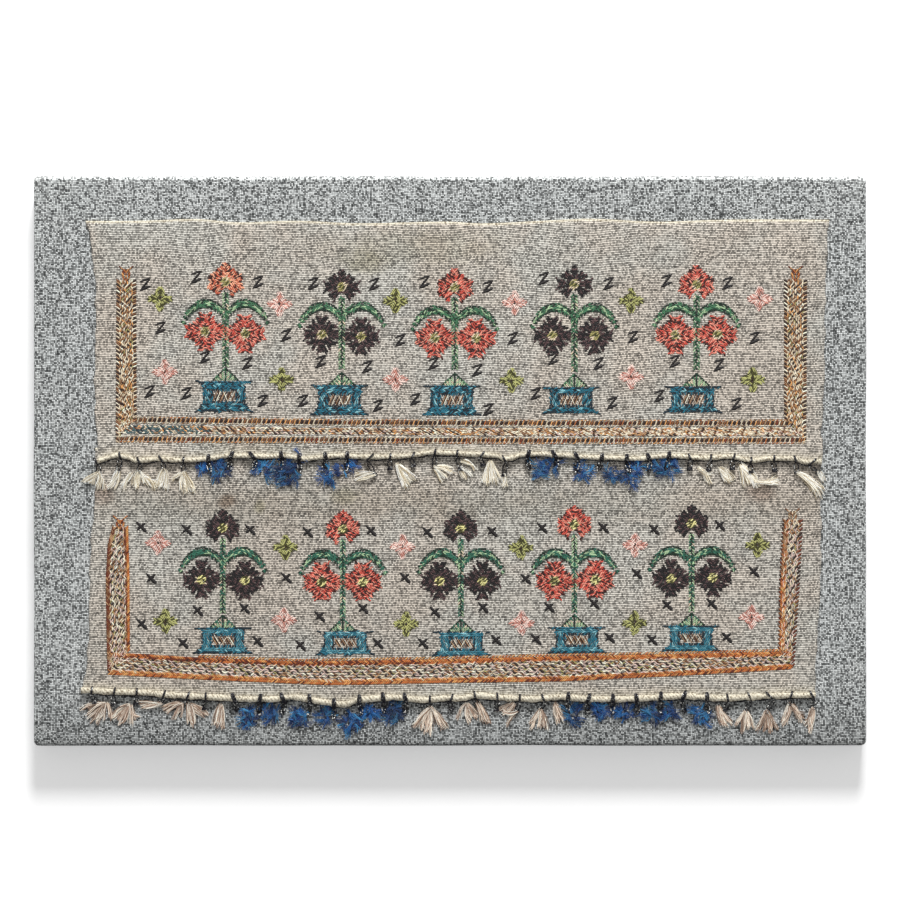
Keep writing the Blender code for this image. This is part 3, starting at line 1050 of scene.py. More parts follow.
# %% [markdown]
# ## Flowers
# Each plant carries three rosettes of eight petals round a hatched eye. A petal is a wedge with a
# notched end. The petals of the red and coral flowers nearly touch, with a dark line between them.
# Those of the black ones stand apart. The petals on the axes are longer, and the top flower has no
# lowest petal, to let the stem in.

# %% Flowers
EYE_RADIUS = 3.0
EIGHTH = math.pi / 4
TOP_PETAL = 2
STEM_PETAL = -2
FLOWER_REACH = 14


class Rosette(NamedTuple):
    """Sizes of a flower, in mm: its petals' reach, how wide they start and grow, their notch."""

    axis: float
    diagonal: float
    crown: float
    root: float
    spread: float
    notch: float
    joined: bool


FULL_TOP = Rosette(10.8, 9.8, 12.2, 1.5, 0.34, 1.3, True)
FULL_SIDE = Rosette(12.2, 10.2, 11.8, 1.5, 0.32, 1.5, True)
OPEN_TOP = Rosette(10.8, 9.9, 11.2, 1.4, 0.26, 1.4, False)
OPEN_SIDE = Rosette(11.6, 10.2, 11.8, 1.4, 0.27, 1.5, False)
LOWER_OPEN_TOP = Rosette(10.4, 9.6, 11.6, 1.4, 0.30, 1.3, False)
LOWER_OPEN_SIDE = Rosette(11.6, 10.0, 12.4, 1.4, 0.29, 1.4, False)
LOWER_FULL_TOP = Rosette(10.6, 9.6, 11.6, 1.5, 0.36, 1.3, True)
LOWER_FULL_SIDE = Rosette(11.4, 10.2, 12.4, 1.5, 0.34, 1.4, True)
print("a side flower of the upper end is", 2 * FULL_SIDE.axis, "mm wide")


def flower(chart, centre, hues, size, is_top, eye):
    dark, pale, shadow = hues

    def shape(dx, dy):
        distance = math.hypot(dx, dy)
        angle = math.atan2(dy, dx)
        if distance < EYE_RADIUS:
            return chart.speckle(dx, dy, eye)
        if distance < EYE_RADIUS + 0.6:
            return chart.pick((0.1, "sand"), (0.4, pale), (0.5, shadow))
        petal = round(angle / EIGHTH)
        if is_top and petal == STEM_PETAL:
            return None
        off = angle - petal * EIGHTH
        along = distance * math.cos(off)
        aside = abs(distance * math.sin(off))
        half = size.root + size.spread * (along - EYE_RADIUS)
        reach = size.diagonal if petal % 2 else size.axis
        if petal == TOP_PETAL:
            reach = size.crown
        end = size.notch * (1 - aside / half)
        if petal == TOP_PETAL and is_top:
            end = 3.0 * aside / half
        if along > reach - end:
            return None
        if aside > half:
            return shadow if size.joined and along < reach * 0.8 else None
        return chart.speckle(dx, dy, (dark, shadow, pale))

    def slant(dx, dy):
        if math.hypot(dx, dy) < EYE_RADIUS:
            return 35
        return 38 if dx * dy > 0 else -38

    reach = (FLOWER_REACH, FLOWER_REACH)
    chart.fill(centre, reach, shape, slant, (1.25, 1.1), wobble=14, span=1.45, width=1.25)


# %% [markdown]
# ## Leaves, stems and roots
# Two leaves arch from the stem over the lower flowers: five lines of short dashes, dark at both
# edges and lighter between. The stem is a zigzag of dark dashes with pale ones beside it. A bar
# crosses it between the lower flowers, and it ends in three roots over the pot.

# %% Leaves, stems and roots


class Plant(NamedTuple):
    """One potted plant, in mm: its stem, its three flowers, and its pot's rim, base and middle."""

    stem: float
    top: float
    left: tuple
    right: tuple
    rim: float
    base: float
    pot: float
    hues: tuple


ALL_RED = ("red", "red")  # the top flower's colour, then the side flowers'
ALL_BLACK = ("black", "black")
UPPER_PLANTS = (
    Plant(-134.6, 107.4, (-146.9, 77.6), (-122.8, 76.4), 48.3, 29.4, -135.5, ("coral", "red")),
    Plant(-64.9, 104.4, (-76.9, 75.8), (-53.3, 74.7), 45.6, 27.6, -66.3, ALL_BLACK),
    Plant(2.9, 104.0, (-9.1, 73.6), (15.6, 73.6), 45.2, 27.6, 1.0, ALL_RED),
    Plant(74.6, 106.2, (61.5, 75.2), (86.7, 75.2), 44.6, 28.2, 72.6, ALL_BLACK),
    Plant(147.9, 105.6, (135.1, 75.8), (160.3, 75.8), 45.0, 28.8, 145.6, ALL_RED),
)
LOWER_PLANTS = (
    Plant(-136.3, -40.2, (-149.1, -71.2), (-123.0, -71.8), -100.0, -115.2, -136.2, ALL_BLACK),
    Plant(-64.3, -41.0, (-76.9, -72.6), (-52.1, -72.6), -101.9, -116.2, -62.8, ALL_RED),
    Plant(6.5, -40.4, (-6.3, -72.0), (19.5, -72.0), -102.4, -116.8, 6.9, ALL_BLACK),
    Plant(74.6, -38.2, (62.7, -72.0), (87.3, -71.4), -99.6, -115.1, 76.1, ALL_RED),
    Plant(144.9, -37.5, (132.5, -70.6), (157.7, -70.0), -98.7, -114.0, 144.6, ALL_BLACK),
)
HUES = {
    "coral": ("coral", "coral_pale", "maroon"),
    "red": ("red", "red_pale", "maroon"),
    "black": ("black", "plum", "ink"),
}
LEAF_REACH = 24.4
LEAF_RISE = 7.9
LEAF_FOOT = 9.6
LEAF_HALF = 2.15
LEAF_DROP = 4.2
STEM_PITCH = 1.8
ROOT_SPREAD = 7.8
ROOT_DROP = 7.4
ROOT_DASHES = 5
ROOT_ROWS = 6
print(len(UPPER_PLANTS) + len(LOWER_PLANTS), "plants")


def leaf(chart, foot, side, greens):
    """Two dark dotted edges, with light and middle green between them."""
    middle, dark, pale = greens
    steps = 19
    for i in range(steps + 1):
        share = i / steps
        arch = math.sin(math.pi * share) ** 0.7
        x = foot[0] + side * (0.8 + LEAF_REACH * share)
        y = foot[1] + LEAF_RISE * arch - LEAF_DROP * share ** 3
        slope = side * math.degrees(math.atan(1.2 * math.cos(math.pi * share) - 0.15))
        half = LEAF_HALF * math.sin(math.pi * (0.2 + 0.68 * share)) ** 0.7
        turn = math.radians(slope + 90)
        rows = (
            (1.0, ((0.75, dark), (0.25, middle)), 24, 1.5),
            (0.4, ((0.6, middle), (0.2, pale), (0.2, dark)), -26, 1.7),
            (-0.1, ((0.5, middle), (0.4, pale), (0.1, dark)), 18, 1.7),
            (-0.5, ((0.55, middle), (0.2, pale), (0.25, dark)), -26, 1.7),
            (-1.0, ((0.8, dark), (0.2, middle)), 40, 1.5),
        )
        for line, shares, lean, span in rows:
            px = x + line * half * math.cos(turn) + chart.random.normal(0, 0.12)
            py = y + line * half * math.sin(turn) + chart.random.normal(0, 0.12)
            chart.stitch(px, py, slope + side * lean, chart.pick(*shares), span, 1.15)


def stem(chart, plant, greens, half):
    """The stem, the bar across it, its three roots and the pale silk between them."""
    middle, dark, pale = greens
    top = plant.top - EYE_RADIUS - 2.6
    foot = plant.rim + ROOT_DROP + 1.0
    count = int((top - foot) / STEM_PITCH)
    for i in range(count):
        y = top - (i + 0.5) * STEM_PITCH
        zigzag = 1 if i % 2 else -1
        for side in (-1, 1):
            colour = chart.pick((0.4, pale), (0.5, middle), (0.1, "sand"))
            chart.stitch(plant.stem + side * (half + 0.55), y - 0.7, -side * 50, colour, 1.6, 1.1)
        colour = chart.pick((0.75, dark), (0.25, middle))
        chart.stitch(plant.stem + zigzag * half * 0.4, y, 62 * zigzag, colour, 2.0, 1.15)
    bar = HUES[plant.hues[1]]
    for column in range(-3, 4):
        for row in (-1, 0, 1):
            colour = chart.speckle(column * 1.3, row * 1.2, (bar[0], bar[2], bar[0], bar[1]))
            place = (plant.stem + column * 1.2, plant.left[1] + row * 1.15)
            chart.stitch(*place, 28 * (-1) ** column, colour, 1.7, 1.1)
    for side in (-1, 0, 1):
        for i in range(ROOT_DASHES):
            share = (i + 0.5) / ROOT_DASHES
            x = plant.stem + side * ROOT_SPREAD * share
            y = foot - 1.0 - ROOT_DROP * share
            chart.stitch(x, y, -90 + side * 42, chart.pick((0.75, dark), (0.25, middle)), 1.8, 1.25)
    for row in range(ROOT_ROWS):
        reach = ROOT_SPREAD * (row + 0.6) / ROOT_ROWS
        count = max(1, round(reach / 1.5))
        for column in range(-count, count + 1):
            if abs(column) in (0, count):
                continue
            colour = chart.pick((0.55, pale), (0.25, "sand"), (0.2, middle))
            slant = 55 if column > 0 else -55
            place = (plant.stem + reach * column / count, foot - 1.4 - row * 1.25)
            chart.stitch(*place, slant, colour, 1.5, 1.1)


def foliage(chart, plants, greens, half):
    for plant in plants:
        foot = (plant.stem, plant.left[1] + LEAF_FOOT)
        for side in (-1, 1):
            leaf(chart, foot, side, greens)
        stem(chart, plant, greens, half)


# %% [markdown]
# ## Pots
# A pot is a low tub that spreads at its foot, with a broad rim. Rows of blue-green silk run across
# it between dark outlines, and a small window of slanting cream and brown stitches sits in its
# middle. Two dark stitches at each side make the points of the rim and of the foot.

# %% Pots
POT_HALF = 12.6
RIM_HALF = 15.6
RIM_FROM = 0.86  # the rim and the foot start at this share of the way from the middle
FOOT_FLARE = 4.4
WINDOW_HALF = 6.6
WINDOW_SHARE = 0.36
WINDOW_STITCHES = 15
WINDOW_SILKS = ("umber", "tan", "umber", "cream", "brown")
POT_BLUES = {
    "upper": ("teal", "navy", "teal", "teal_pale", "teal", "navy"),
    "lower": ("teal", "teal_grey", "teal_pale", "teal", "teal_grey"),
}
print("a pot is", 2 * RIM_HALF, "mm wide at its rim")


def pot(chart, plant, window_slant):
    """Rows of slanting stitches, with a dark rim, waist and foot."""
    half_height = (plant.rim - plant.base) / 2
    middle = (plant.pot, plant.base + half_height)
    window = (WINDOW_HALF, WINDOW_SHARE * half_height)

    def shape(dx, dy):
        lift = dy / half_height
        if abs(lift) > 1.0:
            return None
        half = POT_HALF + (0.6 * lift if lift > 0 else FOOT_FLARE * abs(lift) ** 2.2)
        if lift > RIM_FROM:
            half = RIM_HALF
        if abs(dx) > half:
            return None
        if abs(dx) < window[0] and abs(dy) < window[1]:
            return None
        rim = abs(lift) > RIM_FROM or abs(dx) > half - 1.2
        frame = abs(dx) < window[0] + 1.3 and abs(dy) < window[1] + 1.2
        if rim or frame:
            return chart.pick((0.6, "navy"), (0.4, "teal"))
        return chart.speckle(dx, dy, POT_BLUES[chart.end.name])

    def slant(dx, dy):
        if abs(dy) < window[1] + 1.2:
            return 70 if dx > 0 else -70
        return -30 if round(dy / ROW_PITCH) % 2 else 24

    chart.fill(middle, (18, half_height), shape, slant, wobble=12, span=1.7, width=1.15)
    for i in range(WINDOW_STITCHES):
        x = middle[0] + (i - WINDOW_STITCHES // 2) * 0.84
        colour = WINDOW_SILKS[i % len(WINDOW_SILKS)]
        lean = window_slant if i % 4 else -window_slant
        y = middle[1] + chart.random.normal(0, 0.25)
        chart.stitch(x, y, lean, colour, 1.6 * window[1], 0.8)
    for side in (-1, 1):
        chart.stitch(middle[0] + side * 15.8, plant.rim - 0.4, side * 10, "navy", 2.4, 1.2)
        chart.stitch(middle[0] + side * 16.4, plant.base + 0.4, -side * 20, "navy", 2.4, 1.3)


# %% [markdown]
# ## Stars and sprigs
# Between the plants are four-pointed stars in pink and moss green, with a dark spot in the middle
# and a dark line down each arm, and tiny sprigs: a bent stroke on the upper end and a long-tailed
# cross on the lower one. The same sprigs stand round every plant, at places measured from its top
# flower, and the first plant has more at its left.

# %% Stars and sprigs
STAR_ARM = 7.3
STAR_HALF = 2.85
STAR_BROAD = 3.4
STAR_SHADES = {"lime": "moss", "pink": "rose"}
UPPER_STARS = (
    (-173.9, 97.2, "lime"), (-171.0, 53.4, "pink"), (-102.3, 94.2, "pink"),
    (-101.1, 48.6, "lime"), (-32.7, 96.0, "lime"), (-32.7, 48.6, "pink"),
    (38.7, 94.8, "pink"), (36.9, 48.3, "lime"), (108.6, 96.0, "lime"),
    (108.6, 50.4, "pink"), (185.7, 97.2, "pink"), (181.5, 48.6, "lime"),
)
LOWER_STARS = (
    (-175.2, -49.2, "pink"), (-170.7, -96.0, "lime"), (-98.7, -51.9, "lime"),
    (-99.6, -95.4, "pink"), (-28.5, -51.4, "pink"), (-26.3, -97.8, "lime"),
    (42.6, -51.9, "lime"), (43.1, -97.2, "pink"), (111.0, -50.4, "pink"),
    (110.7, -97.2, "lime"), (184.5, -50.4, "lime"), (180.9, -93.6, "pink"),
)
UPPER_SPRIGS = (
    (-17.6, 3.0), (19.8, 0.6), (35.6, -32.0), (-13.0, -45.6), (14.0, -49.2), (-22.6, -67.8),
    (22.4, -71.6),
)
UPPER_END_SPRIGS = ((-48.9, -1.8), (-38.4, -28.2), (-45.6, -66.0))
LOWER_SPRIGS = (
    (-20.6, -2.4), (17.2, -0.6), (37.6, -29.4), (-15.4, -49.8), (12.5, -47.6), (-23.5, -69.0),
    (21.0, -67.2),
)
LOWER_END_SPRIGS = ((-50.0, 1.2), (-41.6, -30.0), (-48.8, -57.6))
SPRIG_WANDER = 0.7
print(len(UPPER_STARS) + len(LOWER_STARS), "stars")


def star(chart, x, y, hue):
    """Four pointed arms, each with a dark line down its middle."""
    dark = STAR_SHADES[hue]

    def shape(dx, dy):
        far = max(abs(dx), abs(dy))
        near = min(abs(dx), abs(dy))
        if far > STAR_ARM or near > STAR_HALF - 0.5 * max(0.0, far - STAR_BROAD):
            return None
        if far < 1.0:
            return "umber"
        if near < 0.6 and far < 5.6:
            return chart.pick((0.65, dark), (0.35, hue))
        return chart.speckle(dx, dy, (hue, hue, dark))

    def slant(dx, dy):
        return (0 if abs(dx) > abs(dy) else 90) + (32 if dx * dy > 0 else -32)

    chart.fill((x, y), (STAR_ARM, STAR_ARM), shape, slant, (1.15, 1.1), span=1.6, width=1.15)


def bent_sprig(chart, x, y):
    """A slanting bar, a long stroke down to the left and a thick foot."""
    chart.between((x - 2.7, y + 1.9), (x + 1.6, y + 3.6), "ink", 1.4)
    chart.between((x + 2.3, y + 3.2), (x - 2.2, y - 2.2), "ink", 1.4)
    chart.between((x - 2.7, y - 3.2), (x + 2.2, y - 1.1), "ink", 1.9)


def tailed_cross(chart, x, y):
    """Two crossed strokes, one with a long tail."""
    chart.between((x - 2.3, y + 2.3), (x + 2.4, y - 2.4), "ink", 1.9)
    chart.between((x + 0.4, y - 0.6), (x + 2.8, y - 2.9), "ink", 2.3)
    chart.between((x + 1.9, y + 1.8), (x - 1.9, y - 1.5), "ink", 1.9)


def sprigs(chart, plants, draw, places, end_places):
    for number, plant in enumerate(plants):
        for dx, dy in places + (end_places if number == 0 else ()):
            wander = chart.random.normal(0, SPRIG_WANDER, 2)
            draw(chart, plant.stem + dx + wander[0], plant.top + dy + wander[1])


# %% [markdown]
# ## Borders
# A border frames each row of plants on three sides. The upper end's border has lines of dark dots
# with pale silk between them. The lower end's has ropes of rust-red silk, each made of two rows of
# stitches that lean towards each other. A speckled filling lies between the lines of both. All of
# it follows paths, so a helper gives the places along a path.

# %% Walking along a path
ROPE_STEP = 1.15


def along_path(path, step):
    """(x, y, direction) every step along a path of (x, y) places."""
    places = []
    spare = 0.0
    for (x0, y0), (x1, y1) in zip(path, path[1:]):
        length = math.hypot(x1 - x0, y1 - y0)
        way = math.degrees(math.atan2(y1 - y0, x1 - x0))
        distance = spare
        while distance < length:
            share = distance / length
            places.append((x0 + (x1 - x0) * share, y0 + (y1 - y0) * share, way))
            distance += step
        spare = distance - length
    return places


def path_length(path):
    return sum(math.hypot(b[0] - a[0], b[1] - a[1]) for a, b in zip(path, path[1:]))


def rope(chart, path, half, upper, lower):
    """Two rows of stitches along a path that lean towards each other."""
    for x, y, way in along_path(path, ROPE_STEP):
        for side, colours in ((1, upper), (-1, lower)):
            turn = math.radians(way + 90)
            px = x + side * half * math.cos(turn)
            py = y + side * half * math.sin(turn)
            chart.stitch(px, py, way - side * 38, chart.pick(*colours), 2.0, 1.15)


def silks(**shares):
    """The choices for a chart's pick: how large a share of the stitches has each colour."""
    return tuple((share, colour) for colour, share in shares.items())


def dashes(chart, path, step, tilt, colours, span, width):
    """A line of slanting stitches along a path."""
    for x, y, way in along_path(path, step):
        chart.stitch(x, y, way + tilt, chart.pick(*colours), span, width)


def filling(chart, first, second, colours, darks, is_dark, step=1.35, pitch=1.15, span=1.4):
    """Pale stitches between two paths, with dark dashes among them."""
    one = along_path(first, step)
    two = along_path(second, step * (path_length(second) / path_length(first)))
    for number, ((x0, y0, way), (x1, y1, _)) in enumerate(zip(one, two)):
        gap = math.hypot(x1 - x0, y1 - y0)
        count = max(1, int(gap / pitch) - 1)
        for i in range(count):
            share = (i + 1) / (count + 1)
            x = x0 + (x1 - x0) * share + chart.random.normal(0, 0.12)
            y = y0 + (y1 - y0) * share + chart.random.normal(0, 0.12)
            if is_dark(number, i):
                chart.stitch(x, y, way - 34, chart.pick(*darks(x, y)), span + 0.5, 1.3)
            else:
                lean = chart.random.normal(-24 if (number + i) % 2 else 24, 12)
                chart.stitch(x, y, way + lean, chart.pick(*colours(x, y)), span, 1.2)


def lattice(number, i):
    """Dark lines that cross in lozenges, with some stitches missing."""
    on_line = (number + i) % 6 == 0 or (number - i) % 6 == 0
    return on_line and (number * 7 + i * 3) % 5 != 0


def chevrons(number, i):
    """Dark lines that meet in points down the middle of a band."""
    return (number + abs(i - 3)) % 3 == 0 and (number * 5 + i * 3) % 7 != 0


def scattered(number, i):
    """Single dark dashes that never touch."""
    return (number + i * 2) % 5 == 0


print("a rope of 100 mm has", 2 * len(along_path(((0, 0), (100, 0)), ROPE_STEP)), "stitches")

# %% [markdown]
# The upper border follows the cloth's threads and is nearly straight. Its filling is a lattice of
# dark lines, blue-grey at the left, where another hank of silk was used, and brown elsewhere. Its
# two side bands have brown chevrons, and a bud of stitches ends each of them.

# %% Upper border
DOT_PITCH = 2.85
TICK_PITCH = 2.5
KNOT_PITCH = 1.1
KNOT_HALF = 2.5
SLATE_MIDDLE = -170
SLATE_REACH = 32


def dotted_line(chart, path, outward):
    """Dark upright dots with pale silk between them and a fine line along the outside."""
    dots = silks(umber=0.6, brown=0.32, rust_dark=0.08)
    between_dots = silks(gold=0.4, tan=0.3, sand=0.24, rust=0.06)
    dashes(chart, path, DOT_PITCH, 64, dots, 2.0, 1.8)
    dashes(chart, [(x + DOT_PITCH / 2, y) for x, y in path], DOT_PITCH, 70, between_dots, 2.3, 1.1)
    for shift, colours in (
        (outward * 1.65, silks(rust=0.2, gold=0.3, tan=0.3, sand=0.2)),
        (-outward * 1.7, silks(cream=0.35, sand=0.3, tan=0.35)),
    ):
        dashes(chart, [(x, y + shift) for x, y in path], 2.3, 18, colours, 1.4, 0.7)


def upper_border(chart):
    left = ((-199.0, 108), (-199.4, 12.6))
    left_inner = ((-189.4, 108), (-189.0, 25))
    right = ((213.0, 108), (212.4, 12.6))
    right_inner = ((201.4, 108), (201.4, 25))
    top = ((-197, 24.8), (-60, 23.0), (60, 22.6), (203, 22.8))
    bottom = ((-199.5, 13.2), (-60, 12.6), (60, 12.2), (212.6, 12.4))
    ticks = silks(umber=0.75, brown=0.25)
    pale = silks(sand=0.4, tan=0.3, cream=0.3)
    for path, tilt in ((left, 52), (left_inner, 112), (right, 112), (right_inner, 52)):
        between_ticks = [(x, y - TICK_PITCH / 2) for x, y in path]
        dashes(chart, path, TICK_PITCH, tilt, ticks, 2.3, 1.45)
        dashes(chart, between_ticks, TICK_PITCH, tilt, pale, 2.1, 1.1)
    dotted_line(chart, top, 1)
    dotted_line(chart, bottom, -1)

    def slate_share(x):
        return max(0.0, 1 - abs(x - SLATE_MIDDLE) / SLATE_REACH)

    def colours(x, y):
        return silks(sand=0.3, cream=0.2, tan=0.24, blush=0.1, gold=0.1, slate=slate_share(x))

    def darks(x, y):
        blue = slate_share(x) * 3
        return silks(umber=0.6, brown=0.4, navy=blue, slate=blue)

    def side_colours(x, y):
        return silks(sand=0.42, tan=0.2, cream=0.18, gold=0.14, olive=0.06)

    def side_darks(x, y):
        return silks(brown=0.5, umber=0.5)

    inner_top = [(x, y - 2.6) for x, y in top]
    inner_bottom = [(x, y + 2.6) for x, y in bottom]
    filling(chart, inner_top, inner_bottom, colours, darks, lattice)
    for outer, inner in ((left, left_inner), (right, right_inner)):
        filling(chart, outer, inner, side_colours, side_darks, chevrons, 1.45, 1.3, 1.6)
    for x in (-194.3, 207.2):
        knot(chart, x, 108.6, ("rust", "brown", "gold", "rust_dark"), 6.7)


def knot(chart, x, y, colours, tall):
    """The little bud of stitches that ends a border."""
    rows = int(tall / KNOT_PITCH)
    for row in range(rows):
        half = KNOT_HALF * math.sin(math.pi * (row + 1) / (rows + 1))
        for side in (-1, 0, 1):
            colour = colours[(row + side) % len(colours)]
            place = (x + side * half * 0.8, y + row * KNOT_PITCH)
            chart.stitch(*place, 90 - side * 30, colour, 1.9, 1.2)
    for side in (-1, 1):
        for i in range(4):
            place = (x + side * (1.0 + i * 0.85), y + tall - 1.2 + i * 0.7)
            chart.stitch(*place, side * 40, colours[i % len(colours)], 1.7, 0.95)


print("the dots of the upper border are", DOT_PITCH, "mm apart")


# %% [markdown]
# The lower border's cloth was pulled out of square long ago, so its ropes sag towards the middle.
# They are darker at the left than at the right. Its two side bands differ: the right one is edged
# with dark ticks and starts a little higher.

# %% Lower border
LOWER_TICK_PITCH = 2.55


def lower_border(chart):
    left = ((-201.4, -40), (-204.0, -50), (-205.2, -70), (-204.8, -100), (-204.2, -126.4))
    left_inner = ((-194.4, -40), (-193.6, -70), (-193.4, -114.5))
    top = (
        (-203.4, -116.2), (-150, -119.4), (-90, -121.7), (-18, -120.6), (54, -118.8), (126, -117.4),
        (204, -115.6),
    )
    bottom = (
        (-204.0, -126.6), (-150, -129.4), (-72, -132.8), (0, -131.4), (66, -130.6), (138, -127.2),
        (205, -123.2),
    )
    right_inner = ((200.4, -36), (198.4, -70), (197.6, -115))
    right = ((210.6, -36), (209.0, -70), (205.6, -123))
    gold = silks(gold=0.5, rust=0.4, sand=0.1)
    rust = silks(rust=0.6, gold=0.3, rust_dark=0.1)
    deep = silks(rust=0.55, rust_dark=0.3, gold=0.15)
    dark_rust = silks(rust_dark=0.55, rust=0.35, umber=0.1)
    dull = silks(rust_dark=0.4, tan=0.3, brown=0.3)
    tan = silks(tan=0.4, rust=0.35, brown=0.25)
    ticks = silks(brown=0.45, rust_dark=0.35, umber=0.2)
    rope(chart, left, 0.5, dull, dull)
    rope(chart, left_inner, 0.65, rust, dull)
    rope(chart, top[:4], 0.7, deep, dark_rust)
    rope(chart, top[3:], 0.7, rust, deep)
    dashes(chart, [(x, y + 2.3) for x, y in top[1:]], 2.0, 34, gold, 1.8, 1.05)
    rope(chart, bottom[:4], 0.8, gold, rust)
    rope(chart, bottom[3:], 0.8, rust, deep)
    dashes(chart, right_inner, LOWER_TICK_PITCH, 42, ticks, 2.4, 1.4)
    edge = [(x + 1.5, y) for x, y in right_inner]
    rope(chart, edge[:2], 0.7, tan, tan)
    rope(chart, edge[1:], 0.8, rust, rust)
    dashes(chart, right, LOWER_TICK_PITCH, -42, ticks, 2.4, 1.4)

    def colours(x, y):
        return silks(blush=0.3, sand=0.28, tan=0.22, cream=0.14, olive=0.06)

    def darks(x, y):
        return silks(umber=0.7, brown=0.3)

    for first, second in ((top, bottom), (left, left_inner), (right_inner, right)):
        filling(chart, first, second, colours, darks, scattered, 1.7, 1.45, 1.9)
    knot(chart, -197.8, -39.8, ("rust", "rust_dark", "gold"), 5.4)
    knot(chart, 205.4, -35.6, ("brown", "sand", "tan"), 5.6)


print("the ticks of the lower border are", LOWER_TICK_PITCH, "mm apart")


# %% [markdown]
# With the motifs ready, each end is worked in five charts, one for each kind of motif.

# %% Working the needlework


class Pattern(NamedTuple):
    """What one towel end is worked with."""

    end: TowelEnd
    plants: tuple
    stars: tuple
    greens: tuple
    stem_half: float
    full: tuple
    open: tuple
    eye: tuple
    window_slant: float
    border: object
    sprig: object
    sprig_places: tuple
    end_sprig_places: tuple
    seed: int


PATTERNS = (
    Pattern(
        end=UPPER, plants=UPPER_PLANTS, stars=UPPER_STARS,
        greens=("green", "green_dark", "green_pale"), stem_half=0.75,
        full=(FULL_TOP, FULL_SIDE), open=(OPEN_TOP, OPEN_SIDE),
        eye=("olive", "moss", "olive", "sand"), window_slant=66, border=upper_border,
        sprig=bent_sprig, sprig_places=UPPER_SPRIGS, end_sprig_places=UPPER_END_SPRIGS, seed=100,
    ),
    Pattern(
        end=LOWER, plants=LOWER_PLANTS, stars=LOWER_STARS,
        greens=("sea_green", "green_dark", "green_pale"), stem_half=0.5,
        full=(LOWER_FULL_TOP, LOWER_FULL_SIDE), open=(LOWER_OPEN_TOP, LOWER_OPEN_SIDE),
        eye=("olive", "moss", "yellow", "moss"), window_slant=-58, border=lower_border,
        sprig=tailed_cross, sprig_places=LOWER_SPRIGS, end_sprig_places=LOWER_END_SPRIGS, seed=200,
    ),
)
KINDS = ("flowers", "foliage", "pots", "stars_and_sprigs", "border")


def work_end(pattern):
    """The five charts of one end, each worked into a mesh of its own."""
    charts = {
        kind: Chart(pattern.end, f"{pattern.end.name}_{kind}", pattern.seed + i)
        for i, kind in enumerate(KINDS)
    }
    foliage(charts["foliage"], pattern.plants, pattern.greens, pattern.stem_half)
    for plant in pattern.plants:
        top_hues, side_hues = (HUES[hue] for hue in plant.hues)
        on_top, at_sides = pattern.open if plant.hues[1] == "black" else pattern.full
        flower(charts["flowers"], (plant.stem, plant.top), top_hues, on_top, True, pattern.eye)
        for centre in (plant.left, plant.right):
            flower(charts["flowers"], centre, side_hues, at_sides, False, pattern.eye)
        pot(charts["pots"], plant, pattern.window_slant)
    small = charts["stars_and_sprigs"]
    for x, y, hue in pattern.stars:
        star(small, x, y, hue)
    sprigs(small, pattern.plants, pattern.sprig, pattern.sprig_places, pattern.end_sprig_places)
    pattern.border(charts["border"])
    return [chart.work() for chart in charts.values()]


needlework = {pattern.end.name: work_end(pattern) for pattern in PATTERNS}
print("the needlework is in", sum(map(len, needlework.values())), "pieces")

# %% [markdown]
# ## Loops and tassels
# Along each hem a dark metal thread is looped over the roll, and every loop holds a tassel of
# loose silk, five to eight of one colour and then as many of the other. The loops are paths, and a
# tree lays two strands round each path in a helix, which is how such a thread is spun.

# %% A tree that spins a two-strand cord along a path


def cord_tree():
    maker = Maker("spun_cord")
    strand_radius = maker.input("Strand radius")
    twist_pitch = maker.input("Twist pitch")
    step = maker.input("Step")
    values = {"Curve": maker.geometry(), "Length": step}
    path = maker.node("GeometryNodeResampleCurve", {"mode": "LENGTH"}, values)
    length = maker.node("GeometryNodeSplineParameter", output=1)
    normal = maker.node("GeometryNodeInputNormal")
    across = maker.vectors("CROSS_PRODUCT", normal, maker.node("GeometryNodeInputTangent"))
    section = maker.ring(4, strand_radius)
    strands = []
    for start in (0.0, math.pi):
        turn = length / twist_pitch * (2 * math.pi) + start
        one = maker.vectors("SCALE", normal, turn.math("COSINE"))
        two = maker.vectors("SCALE", across, turn.math("SINE"))
        offset = maker.vectors("SCALE", maker.vectors("ADD", one, two), strand_radius)
        strands.append(maker.tube(maker.moved(path, offset), section))
    joined = maker.node("GeometryNodeJoinGeometry", values={0: strands[0]})
    maker.tree.links.new(strands[1].socket, joined.socket.node.inputs[0])
    maker.finish(joined)
    return maker


CORD_TREE = cord_tree()


def path_object(name, runs):
    """A curve object with one straight-run spline for each list of points."""
    curve = bpy.data.curves.new(name, "CURVE")
    curve.dimensions = "3D"
    for run in runs:
        spline = curve.splines.new("POLY")
        spline.points.add(len(run) - 1)
        for point, place in zip(spline.points, run):
            point.co = (*place, 1.0)
    made = bpy.data.objects.new(name, curve)
    SCENE.collection.objects.link(made)
    return made


# %% [markdown]
# Small glass and metal beads are strung on the loops. A second tree sets a coarse ball on every
# point of a cloud. The points carry a size and a "shine", which the finish reads.

# %% A tree that strings beads


def bead_tree():
    maker = Maker("strung_beads")
    bead = maker.node("GeometryNodeMeshIcoSphere", values={"Radius": 1.0, "Subdivisions": 1})
    size = maker.named("size")
    maker.finish(maker.on_each_point(bead, Scale=maker.vector(size, size, size)))
    return maker


BEAD_TREE = bead_tree()

# %% [markdown]
# The metal thread was silver once. It is black with tarnish now, with bright glints where it rubs.
# The beads have stayed brighter.

# %% Metal thread finish
TARNISH = rgb(30, 28, 36)
RUBBED_METAL = rgb(226, 226, 222)


